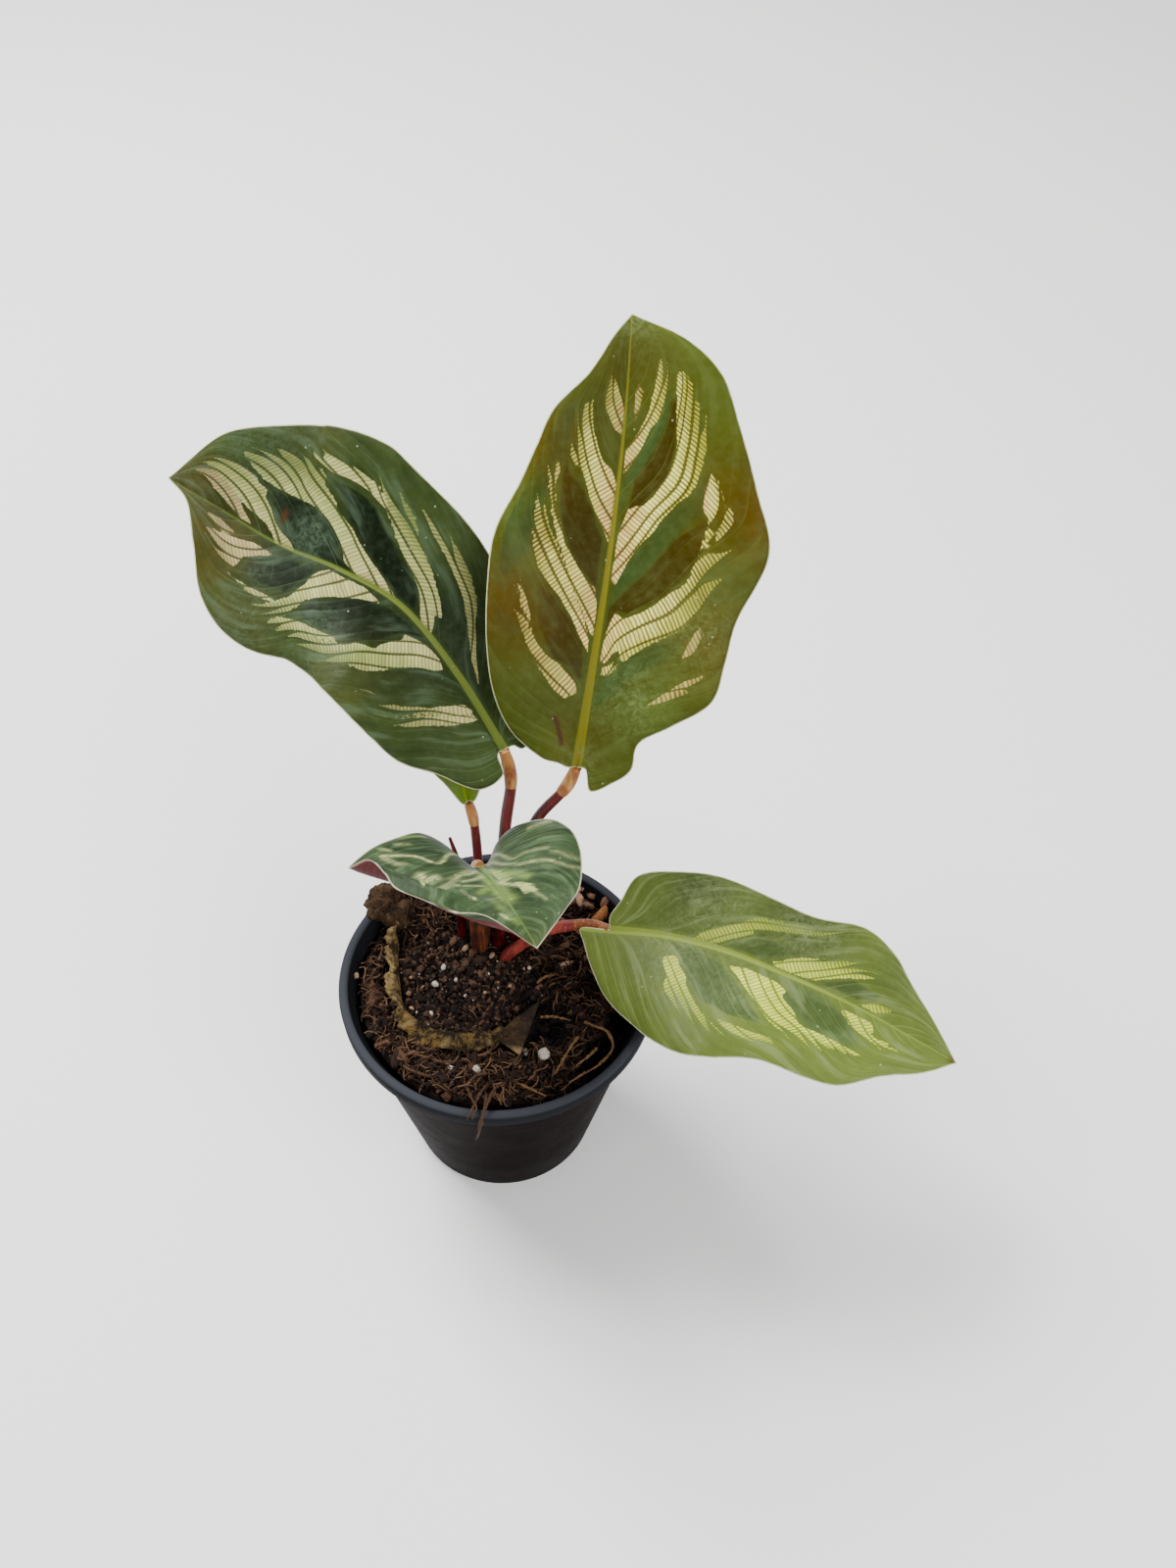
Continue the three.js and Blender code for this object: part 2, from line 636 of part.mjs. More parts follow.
// A blade is a grid of t along the midrib and s across it, from -1 at its left margin to 1 at
// its right one. A line of equal t runs from the midrib to the matching point of each margin.
function bladeGeometry(leaf) {
  const curve = new THREE.CatmullRomCurve3(leaf.spine.map(vector), false, "catmullrom", 0.5);
  const length = curve.getLength();
  const margins = {};
  for (const side of ["left", "right"]) {
    const outline = [[0, 0, 0], ...leaf[side], [length, 0, 0]];
    const points = outline.map(([u, v, lift = 0]) => new THREE.Vector3(u, v, lift));
    margins[side] = new THREE.CatmullRomCurve3(points, false, "catmullrom", 0.5);
  }
  const middle = (t, s) => {
    const side = s < 0 ? "left" : "right";
    const reach = Math.abs(s);
    const margin = margins[side].getPoint(t);
    const foot = t * length;
    const u = foot + (margin.x - foot) * reach ** 1.5;
    const v = margin.y * reach;
    const fold = THREE.MathUtils.degToRad(leaf.fold[side]);
    const phase = leaf.wave[side + "Phase"];
    const swell = Math.sqrt(Math.sin(Math.PI * t));
    const ripple = leaf.wave.height * reach ** 2 * swell
      * Math.sin(2 * Math.PI * (leaf.wave.cycles * t + phase));
    const camber = (leaf.camber * Math.sin(Math.PI * reach) * v) / 20;
    const lift = margin.z * reach ** 1.3 + v * Math.sin(fold) + ripple + camber;
    const frame = bladeFrame(leaf, curve, length, u);
    const point = frame.place.addScaledVector(frame.out, Math.sign(s) * v * Math.cos(fold));
    point.addScaledVector(frame.up, lift);
    return { point, up: frame.up, v };
  };
  const [steps, halfSteps] = leaf.grid;
  const across = [];
  for (let j = -halfSteps; j <= halfSteps; j += 1) {
    across.push(Math.sign(j) * (Math.abs(j) / halfSteps) ** 1.5);
  }
  const width = across.length;
  const top = [];
  const low = [];
  const lay = (t, s) => {
    const { point, up, v } = middle(t, s);
    const rib = BLADE.ribDepth * Math.exp(-((v / BLADE.ribWidth) ** 2))
      * THREE.MathUtils.smoothstep(t, 0, 0.12) * (1 - t);
    top.push(point.clone().addScaledVector(up, BLADE.thickness / 2));
    low.push(point.clone().addScaledVector(up, -BLADE.thickness / 2 - rib));
  };
  lay(0, 0);
  for (let i = 1; i < steps; i += 1) {
    across.forEach((s) => lay(i / steps, s));
  }
  lay(1, 0);
  const points = [...top, ...low];
  const under = top.length;
  const tip = top.length - 1;
  const at = (i, j) => 1 + (i - 1) * width + j;
  const triangles = [];
  const both = (a, b, c) => {
    triangles.push(a, b, c, under + a, under + c, under + b);
  };
  for (let j = 0; j < width - 1; j += 1) {
    both(0, at(1, j + 1), at(1, j));
    both(tip, at(steps - 1, j), at(steps - 1, j + 1));
    for (let i = 1; i < steps - 1; i += 1) {
      both(at(i, j), at(i, j + 1), at(i + 1, j));
      both(at(i, j + 1), at(i + 1, j + 1), at(i + 1, j));
    }
  }
  const leftEdge = [0];
  const rightEdge = [0];
  for (let i = 1; i < steps; i += 1) {
    leftEdge.push(at(i, 0));
    rightEdge.push(at(i, width - 1));
  }
  leftEdge.push(tip);
  rightEdge.push(tip);
  for (let i = 0; i < steps; i += 1) {
    const [a, b] = [leftEdge[i], leftEdge[i + 1]];
    triangles.push(a, b, under + a, b, under + b, under + a);
    const [c, d] = [rightEdge[i], rightEdge[i + 1]];
    triangles.push(c, under + c, d, d, under + c, under + d);
  }
  return facesGeometry(points, triangles);
}

addNode("pot", toGeometry(potSolid()), "pot");

const stemCuts = Object.fromEntries(
  Object.entries(STEMS).map(([name, stem]) => [name, stemCut(stem.points, stem.radius)]),
);
const raggedTop = (i) => WRAP.top + WRAP.ragged * noise(i / 1.7, 2);
const wrap = wrapStrip(WRAP.thickness, WRAP.bottom, raggedTop, 0).add(scrapSolid(WRAP.thickness));
const slotTop = () => POT.height + 3;
const wrapSlot = wrapStrip(WRAP.thickness + 2 * GAP, WRAP.bottom - GAP, slotTop, GAP);
const soil = soilSolid([
  potShell(GAP),
  ...Object.values(stemCuts),
  stemCut(SHOOT.points, SHOOT.radius),
  sheathSolid(GAP, []),
  wrapSlot,
  scrapSolid(WRAP.thickness + 2 * GAP),
]);
addNode("potting_soil", toGeometry(soil), "soil");
addNode("plug_wrap", toGeometry(wrap), "wrap");
addNode("crown_sheath", toGeometry(sheathSolid(0, [stemCuts.front, stemCuts.young])), "sheath");
const shootRadius = (u) => THREE.MathUtils.lerp(SHOOT.radius, SHOOT.tipRadius, u ** 2);
addNode("young_shoot", taperedTube(SHOOT.points, shootRadius, 10, STEM.sides), "petiole");

for (const [name, stem] of Object.entries(STEMS)) {
  const pieces = stemPieces(stem);
  const swelling = (u) => stem.jointRadius * (1 - STEM.jointTaper * u);
  const petiole = taperedTube(pieces.petiole, () => stem.radius, STEM.steps, STEM.sides);
  addNode(`petiole_${name}`, petiole, "petiole");
  addNode(`pulvinus_${name}`, taperedTube(pieces.pulvinus, swelling, 4, STEM.sides), "pulvinus");
  addNode(`blade_${name}`, bladeGeometry(LEAVES[name]), LEAVES[name].finish);
}

export default plant;
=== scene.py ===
# A potted peacock plant dressed for rendering: patterned blades, red stalks, soil and nursery pot.
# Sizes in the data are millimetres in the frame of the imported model; Blender's objects are metres.
import math

import bmesh
import bpy
import numpy as np
from bpy.props import FloatProperty, FloatVectorProperty, PointerProperty
from mathutils import Matrix, Vector, noise


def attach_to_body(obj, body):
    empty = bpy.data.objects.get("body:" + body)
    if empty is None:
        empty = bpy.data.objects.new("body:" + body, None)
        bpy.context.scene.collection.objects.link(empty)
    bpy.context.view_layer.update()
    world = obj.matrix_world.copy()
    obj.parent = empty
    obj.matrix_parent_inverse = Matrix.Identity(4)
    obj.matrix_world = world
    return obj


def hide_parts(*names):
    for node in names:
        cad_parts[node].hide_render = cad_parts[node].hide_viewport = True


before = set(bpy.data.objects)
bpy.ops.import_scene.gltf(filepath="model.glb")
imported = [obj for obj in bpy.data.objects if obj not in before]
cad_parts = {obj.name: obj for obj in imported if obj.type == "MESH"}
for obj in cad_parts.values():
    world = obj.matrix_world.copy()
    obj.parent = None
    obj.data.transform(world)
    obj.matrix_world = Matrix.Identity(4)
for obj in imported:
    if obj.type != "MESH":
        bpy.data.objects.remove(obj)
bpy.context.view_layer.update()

bl_info = {
    "name": "Potted Peacock Plant",
    "version": (1, 0, 0),
    "blender": (4, 5, 0),
    "location": "View3D > Sidebar > Plant",
    "description": "Makes a small prayer plant with patterned leaves in a nursery pot",
    "category": "Add Mesh",
}

MM = 0.001

# Blades: the spine runs along the midrib, and a margin point is [along, out, lift]; face is the way
# the upper side looks, roll its turn in degrees from foot to tip, and fold how far each half rises
LEAVES = {
    "left": {
        "spine": [
            [1.5, 15.5, 94.3], [-6.7, 24.6, 103.4], [-16.3, 31.7, 112.5], [-27.4, 37, 116],
            [-38.5, 42.8, 116.3], [-49, 48.6, 118.8], [-59.1, 53.9, 121.5],
        ],
        "face": [0.05, -0.72, 0.69], "roll": [-20, -16, -8, 0, 0, 0, 0],
        "fold": {"left": 10, "right": 10}, "camber": 1,
        "wave": {"cycles": 2.5, "height": 1.5, "left": 0, "right": 0.2},
        "right": [
            [-0.2, 1.7], [-1.5, 3.4], [0, 8], [6, 13], [14, 15.5], [24, 16],
            [34, 19.3], [43, 22.9], [52, 22.6], [60, 20.8], [67.5, 16.5], [74.5, 11],
        ],
        "left": [
            [-0.2, 1.7], [-3.6, 3], [-3.5, 8], [2, 12.7], [8, 18.3], [18, 20],
            [31, 20], [43, 18.2], [54, 19], [62, 15.2], [68.5, 8], [74, 2],
        ],
    },
    "top": {
        "spine": [
            [14.1, 13.2, 92.9], [16.3, 23.1, 105.4], [18.4, 34.1, 116.8], [20, 45.5, 126.8],
            [21.2, 57, 136.7], [21.9, 68.9, 146.9],
        ],
        "face": [0, -0.74, 0.67], "roll": [0, 0],
        "fold": {"left": 20, "right": 6}, "camber": 1,
        "wave": {"cycles": 2.5, "height": 1.2, "left": 0, "right": 0.2},
        "right": [
            [-0.2, 1.7], [-3.8, 3], [-2, 6.5], [1, 9.5], [6, 10], [10, 15], [15, 21],
            [22, 22.3], [29, 23.2], [40, 27], [50, 23.6], [60, 19.6], [68.5, 15.8], [74.5, 9.2],
        ],
        "left": [
            [-0.1, 1.7], [0.5, 3.4], [1.2, 7], [5, 12.8], [11, 16.8], [19, 19.3], [28, 20.6],
            [37, 20.7], [46, 17.6], [53, 15.4], [60, 12.8], [67, 7], [74, 3],
        ],
    },
    "front": {
        "spine": [
            [-2.1, 0, 81.4], [0.6, -8, 87.8], [3.4, -16, 93.4], [6.3, -24, 98.2], [9.1, -31, 101.2],
        ],
        "face": [-0.13, 0.5, 0.86], "roll": [0, 0],
        "fold": {"left": 0, "right": 0}, "camber": -0.5,
        "wave": {"cycles": 2, "height": 0, "left": 0, "right": 0},
        "right": [
            [-0.3, 1.6, 0.2], [-4.4, 2.8, 0.5], [-4.5, 5, 4], [-3.5, 9, 7], [-1, 13.5, 7.5],
            [1, 18, 7], [4, 22.5, 5.2], [9, 19.4, 7.2], [12, 17.5, 5.2], [15, 16.5, 3.5],
            [20, 13, 2.5], [24, 9.5, 1.2], [30, 5, 2],
        ],
        "left": [
            [-0.3, 1.6, 0.4], [-2, 3.6, 2.8], [-2.5, 6.5, 4.8], [-0.5, 9.5, 6], [3.5, 12.5, 6.7],
            [8, 14, 6.4], [12, 14.7, 5.4], [16.2, 14.4, 3.5], [21, 13, 2], [27, 10.5, 1.3],
            [33, 6.2, 1.4],
        ],
    },
    "right": {
        "spine": [
            [20.8, 4, 58.1], [31, 2, 59.5], [42, -1.5, 60], [52.5, -6, 59.5],
            [64, -11, 58], [74, -16, 56], [82.9, -20, 53.3],
        ],
        "face": [0.05, -0.35, 0.93], "roll": [0, 0],
        "fold": {"left": 26, "right": 5}, "camber": 1,
        "wave": {"cycles": 2, "height": 0.8, "left": 0, "right": 0.2},
        "right": [
            [-5.3, 0.2], [-4.5, 3], [-1.5, 9], [3, 15], [10, 19], [19, 21.3], [27, 20.3],
            [35, 17], [44, 16.2], [51, 14.5], [57, 9], [63, 4.8],
        ],
        "left": [
            [0, 2.5], [2, 5.5], [5, 10.5], [11, 12.3], [18, 13.1], [27, 12], [35, 11.6],
            [43, 13.4], [49, 11.8], [54, 8.6], [60, 5],
        ],
    },
    "young": {
        "spine": [
            [-5.3, 16, 80], [-7.5, 21, 86.5], [-10, 27, 92.5], [-12.5, 33.5, 98], [-15, 40, 101.5],
        ],
        "face": [0, -0.45, 0.9], "roll": [10, 10],
        "fold": {"left": 50, "right": 12}, "camber": 1,
        "wave": {"cycles": 2, "height": 0.8, "left": 0, "right": 0.2},
        "right": [[0, 1.5], [4, 4.2], [10, 8], [18, 10.5], [27, 8]],
        "left": [[0, 1.5], [4, 4.2], [10, 8], [18, 9.5], [27, 7]],
    },
}

# How the lateral veins sweep forward: knots along the midrib, the forward reach of the vein that
# leaves the midrib there as a share of the blade's length, and the share of it that is straight
VEINS = {
    "top": {
        "right": ([0, .19, .24, .38, .46, .54, .66, 1], [.33, .37, .40, .66, .74, .70, .64, .4], .55),
        "left": ([0, .12, .3, .57, .8, 1], [.30, .34, .45, .45, .4, .3], .6),
    },
    "left": {
        "right": ([0, .3, .5, .8, 1], [.4, .45, .5, .5, .4], .5),
        "left": ([0, .2, .5, .8, 1], [.4, .42, .45, .45, .4], .5),
    },
}
PLAIN_VEINS = ([0, .5, 1], [.45, .45, .4], .5)

# Pale windows between the veins, each as (strength, warmth, rows); a row is (across, low, high),
# where low and high are places on the midrib whose veins bound the window there
WINDOWS = {
    "top": {
        "right": [
            (1, .1, [(.2, .165, .18), (.3, .14, .16), (.43, .12, .14)]),
            (1, .15, [(.13, .21, .25), (.2, .19, .285), (.3, .185, .25), (.4, .165, .24),
                      (.45, .13, .245), (.5, .11, .245), (.58, .135, .235), (.62, .14, .235),
                      (.68, .145, .29), (.72, .14, .3), (.76, .145, .25), (.8, .16, .22),
                      (.82, .18, .21)]),
            (.9, .1, [(.56, .33, .355), (.6, .31, .35), (.65, .25, .345), (.68, .25, .34)]),
            (1, .05, [(.05, .4, .5), (.1, .37, .53), (.15, .4, .515), (.2, .405, .49),
                      (.25, .4, .485), (.3, .39, .5), (.4, .4, .505), (.45, .39, .56),
                      (.5, .385, .6), (.55, .38, .57), (.6, .375, .53), (.65, .37, .42),
                      (.7, .37, .41)]),
            (.75, .2, [(.03, .64, .69), (.2, .67, .71), (.25, .66, .73), (.3, .645, .74),
                       (.35, .64, .74), (.4, .65, .73), (.45, .66, .7)]),
            (.4, .4, [(.08, .74, .8), (.12, .75, .81), (.15, .77, .8)]),
            (.5, .6, [(.74, .05, .1), (.8, .05, .1)]),
            (.5, .6, [(.84, -.1, -.03), (.9, -.1, -.03)]),
        ],
        "left": [
            (.8, .5, [(.34, .083, .099), (.47, .04, .1), (.52, .021, .09), (.57, .022, .083),
                      (.67, .049, .092), (.76, .088, .111), (.81, .097, .115)]),
            (.6, .5, [(.65, .1, .12), (.7, .115, .14), (.8, .15, .165)]),
            (1, .25, [(.12, .225, .25), (.2, .225, .27), (.3, .235, .285), (.4, .235, .3),
                      (.6, .215, .31), (.65, .235, .305), (.7, .27, .3), (.75, .28, .295)]),
            (.95, .3, [(.06, .275, .345), (.1, .27, .365), (.2, .285, .35), (.3, .295, .345),
                       (.4, .32, .34), (.45, .32, .36), (.5, .335, .355), (.55, .34, .365),
                       (.6, .345, .365), (.7, .33, .365), (.75, .335, .36)]),
            (.7, .3, [(.62, .375, .395), (.68, .37, .39)]),
            (1, .05, [(.02, .49, .62), (.08, .5, .63), (.2, .51, .61), (.3, .515, .61),
                      (.4, .51, .61), (.5, .475, .62), (.55, .465, .6), (.58, .47, .57),
                      (.62, .5, .54)]),
            (.6, .3, [(.02, .73, .78), (.1, .715, .79), (.2, .71, .78), (.4, .69, .74),
                      (.45, .68, .7)]),
        ],
    },
    "left": {
        "right": [
            (.9, .3, [(.36, .05, .1), (.42, .08, .125), (.5, .1, .135), (.7, .07, .13),
                      (.8, .06, .15), (.83, .08, .12)]),
            (1, .1, [(.03, .29, .32), (.1, .28, .32), (.2, .27, .31), (.25, .24, .305),
                     (.4, .235, .295), (.5, .22, .285), (.65, .195, .255), (.7, .18, .245),
                     (.75, .17, .25), (.8, .175, .22)]),
            (.9, .1, [(.65, .25, .36), (.7, .24, .37), (.75, .3, .38), (.8, .3, .36)]),
            (1, .1, [(.02, .4, .49), (.08, .405, .515), (.2, .42, .495), (.3, .43, .49),
                     (.37, .435, .5), (.41, .445, .62), (.45, .43, .635), (.55, .42, .62),
                     (.6, .395, .6), (.65, .39, .585), (.7, .42, .565), (.74, .455, .53)]),
            (.95, .25, [(0, .66, .71), (.05, .66, .71), (.1, .685, .72), (.15, .69, .76),
                        (.2, .685, .77), (.3, .68, .77), (.35, .66, .77), (.4, .665, .76),
                        (.45, .65, .75), (.5, .65, .735), (.55, .64, .72), (.6, .64, .7),
                        (.65, .635, .67)]),
            (.8, .9, [(.03, .77, .8), (.1, .78, .82), (.2, .775, .835), (.4, .76, .8),
                      (.5, .745, .77)]),
        ],
        "left": [
            (.85, .5, [(.42, -.012, .008), (.46, -.03, 0), (.64, -.073, -.045), (.71, -.067, -.016),
                       (.74, -.048, .03), (.77, -.024, .05)]),
            (.85, .5, [(.48, -.056, -.044), (.55, -.083, -.06), (.68, -.12, -.084),
                       (.75, -.134, -.087), (.79, -.138, -.083), (.82, -.11, -.055),
                       (.84, -.1, -.08)]),
            (1, .1, [(.13, .21, .245), (.15, .2, .26), (.2, .17, .28), (.25, .16, .26),
                     (.3, .15, .255), (.4, .15, .235), (.45, .145, .215), (.5, .14, .25),
                     (.55, .13, .24), (.6, .12, .26), (.65, .12, .28), (.7, .14, .33),
                     (.75, .15, .34), (.8, .17, .25)]),
            (.9, .15, [(.55, .27, .3), (.6, .28, .33), (.65, .29, .4), (.7, .3, .38),
                       (.75, .33, .36)]),
            (1, .15, [(.05, .46, .55), (.1, .4, .555), (.15, .43, .55), (.2, .45, .54),
                      (.25, .46, .525), (.3, .46, .515), (.4, .455, .49), (.45, .44, .48),
                      (.6, .4, .47), (.65, .395, .45)]),
            (.8, .2, [(.48, .5, .53), (.5, .48, .55), (.55, .52, .57)]),
            (.9, .9, [(.12, .67, .72), (.2, .675, .73), (.3, .665, .73), (.45, .61, .7),
                      (.55, .59, .665), (.6, .58, .64)]),
            (.6, .9, [(.18, .75, .8), (.25, .74, .8), (.3, .735, .79), (.35, .735, .77)]),
        ],
    },
    "right": {
        "right": [
            (.8, .2, [(.35, .09, .1), (.4, .05, .09), (.45, .02, .1), (.5, .005, .08),
                      (.55, 0, .08), (.6, -.03, .08), (.65, -.04, .1), (.7, -.02, .12),
                      (.75, .05, .13)]),
            (.6, .2, [(.62, .14, .2), (.66, .16, .25), (.7, .17, .26), (.75, .2, .25),
                      (.8, .2, .24)]),
            (1, .1, [(.1, .37, .46), (.15, .31, .48), (.2, .33, .455), (.3, .35, .46),
                     (.35, .355, .455), (.45, .35, .43), (.5, .345, .44), (.55, .34, .57),
                     (.6, .335, .42), (.65, .33, .43), (.7, .34, .36)]),
            (.8, .1, [(.48, .44, .5), (.52, .42, .57), (.56, .43, .58), (.6, .4, .45)]),
            (.7, .1, [(.1, .65, .73), (.13, .64, .73), (.2, .65, .72), (.22, .64, .7),
                      (.28, .665, .71), (.3, .68, .74), (.35, .69, .715), (.4, .68, .72),
                      (.5, .67, .71)]),
        ],
        "left": [
            (.5, .2, [(.03, .22, .27), (.1, .22, .28), (.2, .2, .28), (.3, .2, .28),
                      (.35, .2, .275), (.4, .21, .25), (.6, .17, .25), (.7, .17, .25),
                      (.8, .18, .25), (.9, .2, .24)]),
            (.9, .1, [(.05, .45, .5), (.1, .43, .55), (.15, .44, .55), (.2, .43, .555),
                      (.35, .425, .57), (.4, .425, .57), (.45, .44, .565), (.5, .47, .55),
                      (.55, .49, .52)]),
            (.5, .1, [(.05, .7, .75), (.2, .7, .745), (.25, .71, .73)]),
        ],
    },
    "front": {
        "right": [
            (.8, .1, [(.25, .46, .47), (.27, .44, .48), (.3, .45, .47)]),
            (.9, .1, [(.6, .14, .18), (.64, .13, .19), (.68, .15, .19)]),
            (.5, .1, [(.1, .69, .71), (.13, .68, .72), (.17, .69, .71)]),
        ],
        "left": [
            (.6, .1, [(.1, .05, .35), (.18, .06, .33), (.28, .1, .3)]),
            (.8, .1, [(.2, .38, .52), (.27, .4, .5), (.35, .44, .5)]),
        ],
    },
    "young": {
        "right": [
            (.7, .1, [(.1, .2, .3), (.3, .2, .3), (.6, .18, .27)]),
            (.7, .1, [(.1, .45, .55), (.3, .45, .55), (.6, .43, .5)]),
        ],
        "left": [
            (.7, .1, [(.1, .2, .3), (.3, .2, .3), (.6, .18, .27)]),
            (.7, .1, [(.1, .45, .55), (.3, .45, .55), (.6, .43, .5)]),
        ],
    },
}

# Areas of darker or bluer green between the windows: kind and rows, read as the windows' are
ZONES = {
    "top": {
        "right": [
            ("dark", [(.1, .27, .32), (.2, .29, .325), (.3, .26, .325), (.4, .25, .325),
                      (.5, .25, .32), (.6, .245, .31), (.64, .25, .29)]),
            ("teal", [(.08, .3, .4), (.2, .325, .4), (.3, .325, .39), (.4, .325, .395),
                      (.5, .32, .38), (.6, .33, .36)]),
            ("dark", [(.1, .53, .6), (.2, .49, .61), (.3, .5, .61), (.4, .51, .61),
                      (.45, .57, .6)]),
            ("teal", [(.04, .56, .63), (.1, .6, .65), (.2, .6, .67), (.3, .6, .65),
                      (.4, .6, .64)]),
            ("teal", [(.2, .1, .16), (.4, .05, .12), (.6, .03, .13), (.7, .05, .13)]),
        ],
        "left": [
            ("dark", [(.08, .37, .48), (.2, .36, .5), (.3, .35, .5), (.4, .36, .48),
                      (.5, .38, .45), (.58, .4, .44)]),
            ("dark", [(.2, .15, .22), (.3, .12, .225), (.4, .12, .22), (.5, .1, .21),
                      (.6, .13, .19)]),
            ("teal", [(.6, .38, .45), (.7, .2, .5), (.8, .15, .45), (.9, .1, .3)]),
        ],
    },
    "left": {
        "right": [
            ("dark", [(.02, .51, .66), (.1, .525, .67), (.2, .5, .67), (.3, .5, .66),
                      (.38, .52, .64)]),
            ("dark", [(.05, .34, .39), (.2, .32, .41), (.4, .31, .42), (.6, .3, .38)]),
        ],
        "left": [
            ("dark", [(.1, .27, .4), (.2, .29, .44), (.3, .27, .44), (.4, .25, .43),
                      (.5, .27, .41), (.55, .32, .39)]),
            ("dark", [(.1, .56, .66), (.2, .55, .67), (.3, .53, .65), (.4, .51, .61)]),
        ],
    },
    "right": {
        "right": [
            ("dark", [(.12, .48, .62), (.2, .47, .64), (.3, .48, .62), (.4, .47, .58)]),
            ("teal", [(.05, .5, .6), (.2, .46, .66), (.4, .45, .64), (.5, .44, .56)]),
            ("dark", [(.15, .14, .28), (.3, .12, .32), (.45, .1, .33), (.55, .12, .3)]),
        ],
        "left": [
            ("dark", [(.08, .3, .41), (.2, .3, .42), (.3, .3, .41), (.4, .27, .4)]),
            ("dark", [(.08, .57, .68), (.2, .57, .69), (.3, .58, .66)]),
        ],
    },
    "front": {
        "right": [("dark", [(.4, .18, .3), (.5, .18, .3), (.6, .22, .28)])],
        "left": [
            ("dark", [(.38, .2, .3), (.45, .19, .31), (.52, .22, .28)]),
            ("dark", [(.1, .42, .5), (.2, .4, .48), (.3, .42, .44)]),
        ],
    },
}

# The share of a blade's length between its fine lateral veins, which part a window into fingers,
# the length in millimetres over which a long finger tapers, and the value far from any window
FINGER_SPACING = 0.05
FULL_TAPER = 14
FAR_OUTSIDE = -8.0

# How the blades' points crowd towards the midrib, the share of the thickness left at the margin,
# and how far the midrib stands out below and sinks in above, in millimetres
CROWDING = 1.15
THIN_MARGIN = 0.35
RIB_DEPTH, CREASE_DEPTH = 0.7, 0.18
# Steps along each blade and across each of its halves
BLADE_STEPS = {
    "left": (200, 44), "top": (200, 44), "front": (160, 56), "right": (170, 38), "young": (80, 24),
}

# The midrib's half width in millimetres at the foot
RIB_WIDTH = {"left": 0.72, "top": 0.85, "front": 0.42, "right": 0.75, "young": 0.6}

# Soft spots, as (along, across, reach in millimetres, amount), where across is below 0 on the left:
# ochre or olive stains, and pale hazy smudges that are partly dried water and partly painted sheen
STAINS = {
    "top": [
        (.24, .93, 10, 1), (.05, .85, 8, .7), (.08, -.8, 9, .9),
        (.3, -.9, 8, .7), (.02, -.15, 5, .6), (.6, -.8, 9, .35),
        (.5, .8, 8, .3), (.8, -.4, 8, .25),
    ],
    "left": [
        (.5, -.85, 9, .9), (.75, -.6, 8, .8), (.85, .6, 7, .6),
        (.3, -.95, 8, .6), (.1, -.8, 8, .35), (.35, .9, 7, .35),
    ],
    "right": [
        (-.05, -.7, 12, 1), (.1, -.9, 12, 1), (.35, -.95, 7, .6),
        (-.1, .6, 6, .5),
    ],
    "front": [(.9, .3, 4, .3)],
}
HAZE_AND_SHEEN = {
    "top": [
        (-.05, .75, 7, .65), (.45, .9, 5, .8), (0, .55, 5, .45),
        (.1, .75, 7, .5), (-.08, .4, 4, .45),
        (.8, .5, 7, .35), (.9, -.4, 5, .35),
    ],
    "left": [
        (.58, .16, 4, .9), (.5, .75, 8, .35), (.12, .45, 7, .2),
        (.35, -.5, 3, .6), (.4, -.75, 7, .4), (.15, -.85, 6, .35),
        (.75, .7, 6, .45), (.62, -.3, 3, .4),
    ],
    "right": [
        (.1, -.5, 8, .6), (.3, -.6, 7, .6), (.1, .3, 7, .5),
        (.3, .3, 6, .4),
    ],
    "front": [
        (.2, -.4, 5, .8), (.5, -.5, 4, .6), (.3, .35, 4, .8),
        (.5, .3, 3, .6),
    ],
}
